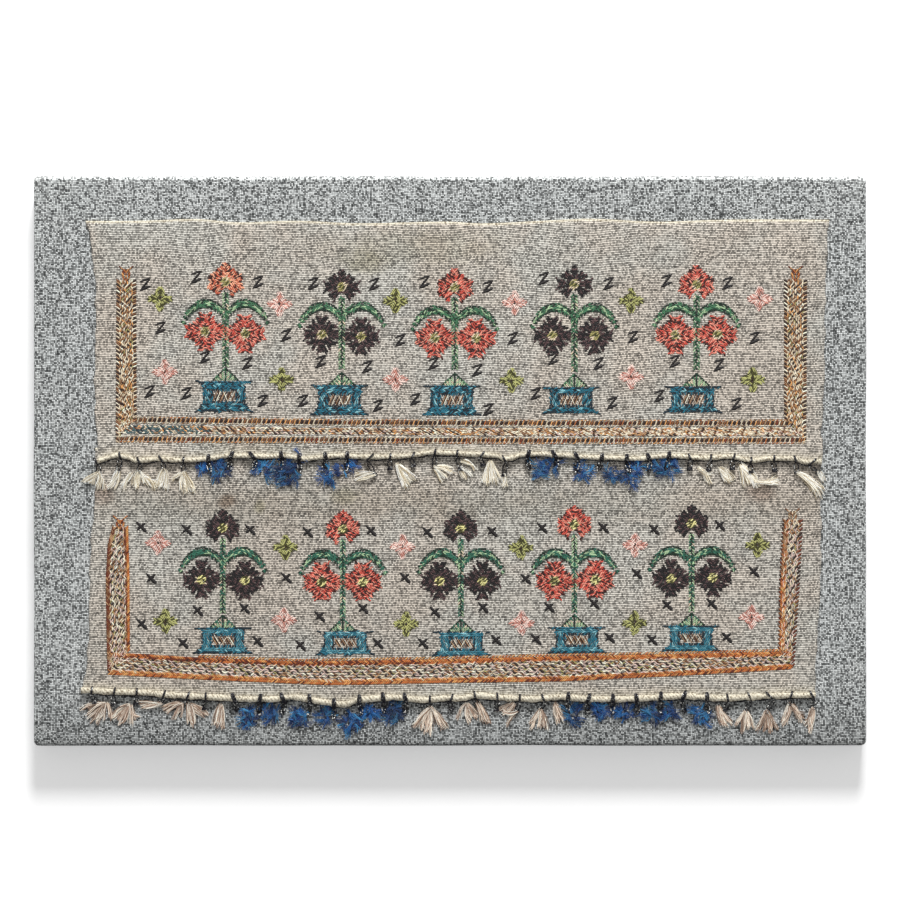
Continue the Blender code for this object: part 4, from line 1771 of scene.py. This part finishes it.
def metal_thread_finish():
    finish = Finish("tarnished_thread", roughness=0.42)
    wear = finish.noise(finish.place(), 900.0, 3.0) + finish.attribute("shine", output=2) * 0.4
    rubbed = finish.smooth(wear, 0.57, 0.7)
    finish.feed("Base Color", finish.mix(rubbed, TARNISH, RUBBED_METAL))
    finish.feed("Metallic", 0.15 + rubbed * 0.35)
    finish.feed("Roughness", 0.5 - rubbed * 0.25)
    return finish.material


METAL_THREAD = metal_thread_finish()
print("made the metal thread's finish")

# %% [markdown]
# A loop starts behind the roll, comes over it, and its two legs meet at the tassel below. It leans
# a little as it crosses the roll, to one side or the other, because each was worked by hand. The
# loops of the cream tassels are slim over the roll and open below it. Those of the blue ones are
# stout, longer and carry more beads. A dark thread follows the hem's lower edge from loop to loop,
# and also stands in for the shadow under the hem: painted shade.

# %% Loops over the hems


class Loop(NamedTuple):
    """How the loops of one colour are made, in mm. A binding of 0 means none."""

    apart: float
    flare: float
    drop: float
    beads: int
    binding: float
    strand: float


LOOP_KINDS = {
    "cream": Loop(0.34, 1.5, 5.2, 5, 1.5, 0.27 * MM),
    "blue": Loop(0.72, 0.9, 7.4, 10, 0.0, 0.43 * MM),
}
UPPER_LOOPS = (
    ("cream", (-212.0, -197.8, -186.5, -173.2, -159.7)),
    ("blue", (-144.7, -131.1, -118.2, -101.1, -90.3, -74.5, -61.6)),
    ("cream", (-47.8, -35.8, -22.3, -9.0, 4.3, 19.1, 32.4)),
    ("blue", (46.9, 62.5, 75.9, 90.9, 105.8, 119.1, 131.1)),
    ("cream", (143.6, 156.2, 170.0, 180.3, 194.1, 206.7, 217.1)),
)
LOWER_LOOPS = (
    ("cream", (-214.6, -201.1, -187.6, -171.4, -157.0, -146.3)),
    ("blue", (-129.3, -113.9, -100.1, -84.0, -69.5, -54.3, -40.0, -26.7)),
    ("cream", (-12.1, 0.8, 14.9, 28.4, 41.7, 55.9)),
    ("blue", (70.7, 82.9, 97.5, 111.7, 126.1, 139.9, 153.9)),
    ("cream", (166.3, 179.6, 191.6, 204.2, 216.9)),
)
print(sum(len(places) for _, places in UPPER_LOOPS + LOWER_LOOPS), "loops")
EDGING_AND_SHADE_STRAND = 0.27 * MM
EDGING_AND_SHADE_STEPS = 320
NEAREST_ROOT = 4.0
LOOP_TILT = 0.8  # how far a loop leans as it crosses the hem, in mm
ROLL_START = -12  # degrees round the hem's roll, from behind it
ROLL_SWEEP = 190
ROLL_PLACES = 8
BINDING_TURNS = 2.6
BINDING_STEPS = 32
BEAD_SIZES = (0.36, 0.62)
BRIGHT_BEADS = 0.65


def loop_foot(end, x, kind, roots, random):
    """Where a loop's legs meet: the root of the nearest tassel, or straight below."""
    y = end.hem.at(x * MM) / MM - end.hem_radius / MM - kind.drop
    near = [root for root in roots if abs(root[0] - x) < NEAREST_ROOT and abs(root[1] - y) < 5]
    if near:
        return min(near, key=lambda root: abs(root[0] - x))
    return (x + random.normal(0, 0.9), y + random.normal(0, 0.6))


def loop_leg(end, x, side, kind, foot, tilt):
    """Places from behind the roll, over it and down to the foot, for one leg of a loop."""
    hem = end.hem.at(x * MM)
    middle = end.bottom(x * MM, hem) + end.hem_radius
    reach = end.hem_radius + kind.strand * 2.1
    places = []
    for i in range(ROLL_PLACES):
        turn = math.radians(ROLL_START + ROLL_SWEEP * i / (ROLL_PLACES - 1))
        spread = side * kind.apart * (0.4 + 0.6 * math.sin(max(0.0, turn)))
        across = (x + spread + tilt * math.cos(turn)) * MM
        places.append((across, hem + reach * math.cos(turn), middle + reach * math.sin(turn)))
    floor = end.hem_underside + 0.8 * MM
    last = places[-1]
    for share in (0.3, 0.55, 0.8, 1.0):
        spread = side * (kind.apart * (1 - share) + kind.flare * math.sin(math.pi * share) * 0.7)
        across = (x + (foot[0] - x) * share + spread + side * 0.15 - tilt * (1 - share)) * MM
        y = last[1] + (foot[1] * MM - last[1]) * share
        places.append((across, y, last[2] + (floor - last[2]) * min(1.0, share * 1.5)))
    return places


def binding(end, foot, half):
    """Thread wound round a tassel's neck."""
    middle = end.hem_underside + 1.0 * MM
    places = []
    for i in range(BINDING_STEPS + 1):
        turn = 2 * math.pi * BINDING_TURNS * i / BINDING_STEPS
        x = foot[0] + half * math.cos(turn)
        y = foot[1] + 0.5 - 1.5 * i / BINDING_STEPS
        places.append((x * MM, y * MM, middle + 0.62 * MM * math.sin(turn)))
    return places


def make_loops(end, groups, roots):
    """The loops of an end, one piece for each colour, and their beads."""
    random = np.random.default_rng(end.seed + 40)
    runs = {colour: [] for colour in LOOP_KINDS}
    beads = []
    for colour, stations in groups:
        kind = LOOP_KINDS[colour]
        for x in stations:
            foot = loop_foot(end, x, kind, roots, random)
            tilt = random.normal(0, LOOP_TILT)
            legs = [loop_leg(end, x, side, kind, foot, tilt) for side in (-1, 1)]
            runs[colour].extend(legs)
            if kind.binding:
                runs[colour].append(binding(end, foot, kind.binding))
            for number in range(kind.beads):
                leg = legs[number % 2][-5:]
                start = int(random.integers(0, 4))
                place = Vector(leg[start]).lerp(Vector(leg[start + 1]), random.random())
                size = random.uniform(*BEAD_SIZES) * MM
                shine = 1.0 if random.random() < BRIGHT_BEADS else 0.0
                beads.append((place.x, place.y, place.z + kind.strand * 1.8, size, shine))
    cords = [
        CORD_TREE.run(path_object(f"{end.name}_{colour}_loops", paths), **{
            "Strand radius": LOOP_KINDS[colour].strand, "Twist pitch": 1.6 * MM,
            "Step": 0.55 * MM, "Material": METAL_THREAD,
        })
        for colour, paths in runs.items()
    ]
    cloud = point_cloud(end.name + "_beads", beads, ("size", "shine"))
    return cords + [BEAD_TREE.run(cloud, Material=METAL_THREAD)]


def make_edging_and_shade(end, groups):
    """The dark thread under the hem, which sags a little between the loops; partly painted shade.
    """
    first = groups[0][1][0] * MM
    last = groups[-1][1][-1] * MM
    run = []
    for i in range(EDGING_AND_SHADE_STEPS + 1):
        x = first + (last - first) * i / EDGING_AND_SHADE_STEPS
        sag = 0.35 * MM * math.sin(x * 2 * math.pi / LOOP_PITCH)
        y = end.hem.at(x) - end.hem_radius - 0.35 * MM + sag
        run.append((x, y, end.hem_underside + 0.75 * MM))
    # The cord is partly painted shade: it stands in for the shadow under the hem.
    return CORD_TREE.run(path_object(end.name + "_edging", [run]), **{
        "Strand radius": EDGING_AND_SHADE_STRAND, "Twist pitch": 2.4 * MM, "Step": 0.8 * MM,
        "Material": METAL_THREAD,
    })


# %% [markdown]
# ## Silk strands
# A tassel is a few dozen fine silk ends that spring from the loop's foot. A tree grows one strand
# on every point of a cloud. Each strand bows to one side, wavers with noise and thins to its tip.
# The cloud's labels say where it points, how long and fat it is and which noise it follows.

# %% A tree that grows silk strands


def strand_tree():
    maker = Maker("silk_strands")
    radius = maker.input("Radius")
    curl = maker.input("Curl")
    grain = maker.input("Grain")
    span = maker.named("span")
    turn = maker.named("turn")
    placed = maker.on_each_point(
        maker.line((0, 0, 0), (1, 0, 0), 6),
        Rotation=maker.vector(0.0, maker.named("dip"), turn),
        Scale=maker.vector(span, span, span),
    )
    strands = maker.node("GeometryNodeRealizeInstances", values={0: placed})
    along = maker.node("GeometryNodeSplineParameter")
    aside = maker.named("bow") * along * along
    bow = maker.vector(aside * (0 - turn.math("SINE")), aside * turn.math("COSINE"), 0.0)
    sway = maker.node("ShaderNodeTexNoise", {"noise_dimensions": "4D"}, {
        "Vector": maker.node("GeometryNodeInputPosition"), "W": maker.named("wave"),
        "Scale": grain, "Detail": 1.0,
    }, output=1)
    centred = maker.vectors("SUBTRACT", sway, (0.5, 0.5, 0.5))
    flat = maker.vectors("MULTIPLY", centred, (1, 1, 0.35))
    waver = maker.vectors("SCALE", flat, curl * along.math("POWER", 1.3))
    bent = maker.moved(strands, maker.vectors("ADD", bow, waver))
    taper = (1 - along.math("POWER", 2.0) * 0.6) * maker.named("fat")
    thin = maker.node("GeometryNodeSetCurveRadius", values={0: bent, "Radius": taper})
    maker.finish(maker.tube(thin, maker.ring(3, radius)))
    return maker


STRAND_TREE = strand_tree()

# %% [markdown]
# The cream tassels lie combed into locks. The table gives each one's root, how it leans from
# straight down, its length, how far its locks fan out, how many they are and how far they bow. The
# outer locks droop as well, as loose silk does under its own weight.

# %% Cream tassels


class Tassel(NamedTuple):
    """A tassel as it lies: places and lengths in mm, lean and spread in degrees."""

    across: float
    up: float
    lean: float
    length: float
    spread: float
    locks: int
    bow: float


def table(kind, groups):
    """Groups of rows, with each row's columns named."""
    return {name: [kind(*row) for row in rows] for name, rows in groups.items()}


CREAM_TASSELS = table(Tassel, {
    "upper_tassels_1_cream": (
        (-210.4, -7.2, -22, 10.0, 38, 8, -0.5), (-199.1, -6.2, -22, 10.6, 18, 5, -1.0),
        (-191.3, -7.6, -42, 10.0, 9, 3, 1.5), (-186.5, -6.6, -2, 9.6, 34, 7, 0.0),
        (-182.0, -9.6, 52, 8.4, 12, 3, -0.5), (-171.3, -5.1, -6, 11.4, 24, 10, -0.8),
        (-159.5, -7.2, 4, 12.2, 26, 9, 0.8), (-161.2, -7.4, -48, 7.8, 8, 2, 0.8),
    ),
    "upper_tassels_3_cream": (
        (-45.3, -7.8, -80, 10.6, 5, 3, 0.8), (-31.5, -2.0, 38, 15.6, 11, 9, -1.2),
        (-9.3, -3.4, 72, 12.0, 30, 7, -1.6), (6.3, -4.8, 28, 7.2, 24, 3, 0.5),
        (7.6, 0.4, 78, 6.6, 12, 2, -3.2), (24.2, -0.8, -4, 12.6, 27, 13, 0.0),
        (32.4, -8.2, 4, 7.2, 16, 3, 0.0),
    ),
    "upper_tassels_5_cream": (
        (149.3, -4.4, 54, 10.0, 11, 5, -1.4), (161.9, -4.2, 44, 10.8, 18, 7, -1.0),
        (174.3, -2.6, 39, 15.4, 15, 8, -2.2), (184.4, -12.6, 84, 12.8, 8, 4, 2.0),
        (208.0, -6.4, 62, 20.6, 8, 6, -3.6), (220.8, -6.6, 32, 6.0, 7, 2, 0.0),
    ),
    "lower_tassels_1_cream": (
        (-207.0, -145.2, -60, 13.6, 34, 8, 2.0), (-206.0, -145.2, -8, 10.0, 20, 5, 0.0),
        (-192.3, -146.4, -42, 13.2, 30, 9, 1.4), (-191.6, -149.0, 24, 7.4, 5, 2, 0.0),
        (-173.4, -145.6, -92, 13.0, 20, 7, 0.8), (-161.4, -145.6, -56, 10.6, 44, 9, 0.8),
        (-156.6, -145.4, 40, 12.4, 36, 7, -1.6), (-156.0, -146.0, 8, 13.4, 9, 3, 0.0),
        (-137.8, -146.4, -4, 13.6, 20, 10, 0.0),
    ),
    "lower_tassels_3_cream": (
        (-11.6, -148.0, -4, 15.8, 42, 14, 0.0), (10.5, -145.6, 4, 10.0, 40, 7, 2.6),
        (16.5, -144.8, 38, 14.2, 13, 7, -2.8), (38.0, -145.4, -46, 8.8, 30, 6, 1.8),
        (39.8, -150.4, -56, 10.6, 4, 2, -1.0), (54.3, -149.4, -2, 11.8, 30, 8, 0.0),
        (63.3, -145.2, 8, 13.0, 15, 6, 2.0),
    ),
    "lower_tassels_5_cream": (
        (161.1, -147.6, 15, 13.2, 15, 7, 1.2), (177.3, -149.9, -4, 12.0, 26, 8, 0.0),
        (190.0, -150.6, 0, 12.8, 28, 9, 0.0), (204.0, -145.8, -13, 14.4, 10, 4, -0.6),
        (204.8, -146.0, 42, 11.6, 14, 4, -1.2), (217.6, -148.2, -6, 12.6, 13, 7, 0.0),
    ),
})
LOCK_STRANDS = 10
LOCK_WIDTH = 0.45
DROOP = 3.0
STRAND_LABELS = ("turn", "dip", "span", "bow", "wave", "fat")
CREAM_HUES = {
    "upper": (rgb(255, 254, 246), rgb(255, 250, 236), rgb(240, 230, 206), rgb(190, 174, 144)),
    "lower": (rgb(240, 222, 202), rgb(186, 158, 138), rgb(255, 248, 234), rgb(134, 108, 90)),
}
CREAM_RADIUS = 0.19 * MM
CREAM_CURL = 4.2 * MM
CREAM_GRAIN = 185.0
print(sum(map(len, CREAM_TASSELS.values())), "cream tassels")


def tinted(random, hues, low, high):
    """One of the hues, made a little lighter or darker."""
    return tint(random, hues[random.integers(0, len(hues))], low, high)


def combed_strands(end, tassels, random):
    """One row for each strand: its place, its labels and its colour."""
    floor = end.hem_underside
    rows = []
    for tassel in tassels:
        for lock in range(tassel.locks):
            share = 0.0 if tassel.locks == 1 else 2 * lock / (tassel.locks - 1) - 1
            lean = tassel.lean + 1.25 * tassel.spread * share + random.normal(0, 6)
            length = tassel.length * random.uniform(0.78, 1.06)
            bow = tassel.bow - share * DROOP + random.normal(0, 1.1)
            wave = random.uniform(0, 40)
            height = random.uniform(0.5, 1.9) * MM
            root = (tassel.across + share * 0.7, tassel.up + random.normal(0, 0.3))
            for _ in range(LOCK_STRANDS):
                x = root[0] + random.normal(0, LOCK_WIDTH)
                y = root[1] + random.normal(0, LOCK_WIDTH)
                z = floor + height + random.uniform(0.0, 0.5) * MM
                span = length * random.uniform(0.82, 1.05)
                drop = z - floor - CREAM_RADIUS - random.uniform(0.0, 0.7) * MM
                dip = math.atan2(max(0.0, drop), span * MM)
                turn = math.radians(lean + random.normal(0, 2.5) - 90)
                colour = tinted(random, CREAM_HUES[end.name], 0.85, 1.1)
                fat = random.uniform(0.8, 1.5)
                rows.append((x * MM, y * MM, z, turn, dip, span * MM, bow * MM, wave, fat, *colour))
    return rows


# %% [markdown]
# The blue silk has been rubbed into tufts of curly fluff between the loops. Each tuft is an
# ellipse on the cloth, filled with short strands that start anywhere in it and point anywhere.

# %% Blue tufts


class Tuft(NamedTuple):
    """Fluff as it lies: its middle and its half width and height in mm, and its lightness."""

    across: float
    up: float
    wide: float
    high: float
    light: float


BLUE_TUFTS = table(Tuft, {
    "upper_tassels_2_blue": (
        (-137.6, -5.4, 5.0, 6.4, 0.9), (-148.6, -5.0, 4.0, 3.2, 1.5),
        (-111.8, -5.0, 5.0, 5.0, 1.2), (-98.6, -6.8, 8.4, 7.0, 0.8),
        (-90.3, 1.6, 2.4, 3.0, 1.2), (-73.2, -8.0, 4.8, 5.6, 1.1),
        (-65.8, -4.8, 3.8, 3.0, 1.5), (-57.0, -2.8, 3.0, 3.2, 1.3),
    ),
    "upper_tassels_4_blue": (
        (54.4, -5.0, 5.0, 5.8, 1.0), (62.2, -3.2, 3.8, 3.4, 0.8),
        (79.4, -6.4, 6.2, 4.0, 1.2), (97.6, -7.4, 5.8, 4.6, 0.7),
        (112.2, -4.6, 4.4, 4.6, 1.2), (108.6, -12.0, 4.6, 3.6, 1.1),
        (129.6, -3.6, 9.8, 5.4, 0.9),
    ),
    "lower_tassels_2_blue": (
        (-121.2, -154.2, 4.4, 6.2, 1.1), (-107.8, -150.6, 5.2, 5.6, 0.9),
        (-90.6, -154.0, 6.6, 5.0, 1.2), (-73.8, -151.8, 5.0, 6.2, 0.9),
        (-58.2, -157.4, 6.6, 5.2, 1.1), (-47.6, -151.2, 5.8, 4.4, 1.3),
        (-34.2, -151.0, 5.6, 7.0, 0.65),
    ),
    "lower_tassels_4_blue": (
        (73.8, -151.8, 4.4, 7.4, 0.8), (89.6, -150.0, 5.4, 4.6, 1.1),
        (104.6, -150.4, 5.8, 4.8, 1.1), (121.0, -152.4, 5.2, 5.4, 0.8),
        (131.8, -149.4, 4.2, 6.2, 1.0), (149.4, -152.4, 4.8, 5.8, 1.0),
    ),
})
BLUE_HUES = (rgb(16, 72, 132), rgb(10, 44, 90), rgb(26, 92, 150), rgb(52, 124, 170))
BLUE_RADIUS = 0.15 * MM
BLUE_CURL = 3.4 * MM
BLUE_GRAIN = 260.0
FLUFF_DENSITY = 0.36  # wisps to the square millimetre
WISP_STRANDS = 6
UNDERLAY = 0.3  # the share of wisps that lie short and fat under the others
print(sum(map(len, BLUE_TUFTS.values())), "blue tufts")


def fluffed_strands(end, tufts, random):
    """One row for each strand, as in combed_strands. Strands come in wisps that lie together."""
    floor = end.hem_underside
    rows = []
    for tuft in tufts:
        count = int(math.pi * tuft.wide * tuft.high * FLUFF_DENSITY)
        for _ in range(count):
            away = math.sqrt(random.random()) * 0.84
            around = random.uniform(0, 2 * math.pi)
            x = tuft.across + tuft.wide * away * math.cos(around)
            y = tuft.up + tuft.high * away * math.sin(around)
            turn = around + random.normal(0, 1.4)
            under = random.random() < UNDERLAY
            length = random.uniform(2.0, 3.2) if under else random.uniform(3.0, 5.6)
            bow = random.normal(0, 1.8)
            height = 0.3 if under else 0.5 + 1.8 * random.random() * (1 - away * away)
            # Under wisps take only the two darker hues and are dimmed: painted shade under the
            # fluff.
            light = tuft.light * (0.75 if under else 1.0) * random.uniform(0.8, 1.2)
            hue = BLUE_HUES[random.integers(0, 2 if under else 4)]
            wave = random.uniform(0, 40)
            for _ in range(WISP_STRANDS):
                place = (x + random.normal(0, 0.35), y + random.normal(0, 0.35))
                z = floor + (height + random.uniform(0, 0.4)) * MM
                way = turn + random.normal(0, 0.2)
                span = length * random.uniform(0.7, 1.1)
                fat = 2.8 if under else random.uniform(0.9, 1.8)
                colour = tinted(random, (hue,), 0.85 * light, 1.15 * light)
                shape = (way, random.uniform(-0.04, 0.1), span * MM, bow * MM, wave, fat)
                rows.append((place[0] * MM, place[1] * MM, z, *shape, *colour))
    return rows


# %% [markdown]
# Every group of tassels is one piece, in the place of one solid. The cream tassels' roots then say
# where the loops that hold them end, so the loops are made last.

# %% Making every tassel and loop
tassel_pieces = {}
for number, name in enumerate(sorted([*CREAM_TASSELS, *BLUE_TUFTS])):
    random = np.random.default_rng(1000 + number)
    end = UPPER if name.startswith("upper") else LOWER
    if name in CREAM_TASSELS:
        rows = combed_strands(end, CREAM_TASSELS[name], random)
        sizes = {"Radius": CREAM_RADIUS, "Curl": CREAM_CURL, "Grain": CREAM_GRAIN}
    else:
        rows = fluffed_strands(end, BLUE_TUFTS[name], random)
        sizes = {"Radius": BLUE_RADIUS, "Curl": BLUE_CURL, "Grain": BLUE_GRAIN}
    cloud = point_cloud(name + "_strands", rows, STRAND_LABELS, colour=True)
    tassel_pieces[name] = STRAND_TREE.run(cloud, Material=TASSEL_SILK, **sizes)
    print(name, len(rows), "strands,", triangles(tassel_pieces[name]), "triangles")

loops = {}
for end, groups in ((UPPER, UPPER_LOOPS), (LOWER, LOWER_LOOPS)):
    roots = [
        (tassel.across, tassel.up)
        for name, tassels in CREAM_TASSELS.items() if name.startswith(end.name)
        for tassel in tassels
    ]
    loops[end.name] = make_loops(end, groups, roots) + [make_edging_and_shade(end, groups)]
    print(end.name, "loops:", sum(triangles(o) for o in loops[end.name]), "triangles")

# %% [markdown]
# ## The board
# Only the back of the board shows, inside the turned-in linen. It is a plain light-wood board, so
# noise stretched along x, gently bent, is its grain, with faint rings under it and fine fibres.

# %% Board finish
WOOD_DARK = rgb(168, 136, 98)
WOOD_PALE = rgb(218, 194, 158)


def board_finish():
    finish = Finish("plain_board", roughness=0.7)
    x, y, z = finish.parts(finish.place())
    bend = finish.noise(finish.vector(x * 3, y * 3, 0.0), 1.0) * 9
    rings = ((y * 62 + bend) * math.pi).math("SINE")
    grain = finish.noise(finish.vector(x * 9, y * 420 + bend * 4, z * 60), 1.0, 5.0, 0.65)
    fibre = finish.noise(finish.vector(x * 90, y * 1900, z * 200), 1.0, 3.0)
    tone = grain + rings * 0.07
    colour = finish.mix(finish.smooth(tone, 0.3, 0.7), WOOD_DARK, WOOD_PALE)
    colour = finish.shade(colour, 0.8 + fibre * 0.4)
    finish.feed("Base Color", colour)
    finish.relief(grain + fibre * 0.4, 0.1 * MM)
    return finish.material


board = frame["nodes"]["mount_board"]
board.data.materials.clear()
board.data.materials.append(board_finish())
print("made the board's finish")

# %% [markdown]
# ## What belongs to what
# Every piece rides on the panel's one body and hides the solid that it stands for, if any. The
# sizes that the two towel ends were cut to are printed.

# %% Fitting the pieces to the frame


def fit(piece, slot, *nodes):
    """Puts a piece on the panel's body and hides the solids it stands for. Its slot is not used."""
    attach(piece, "root")
    if nodes:
        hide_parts(*nodes)


fit(linen_cover, "ground_linen", "linen_cover")
for end in ENDS:
    fit(sheets[end.name], "towel_cloth", end.name + "_towel_end")
    for piece in needlework[end.name] + loops[end.name]:
        fit(piece, "cream_silk")
for name, piece in tassel_pieces.items():
    fit(piece, name.split("_")[-1] + "_silk", name)

for end in ENDS:
    drop = end.top.at(0.0) - end.hem.at(0.0) + end.hem_radius * ROLL_TURN
    width = end.right.at(0.0) - end.left.at(0.0)
    rests = ["linen_cover_cloth"] + ([LOWER.name + "_towel_cloth"] if end is UPPER else [])
    needlework[end.name] + loops[end.name]
    print(end.name, "end was cut to", round(width / MM), "by", round(drop / MM), "mm")
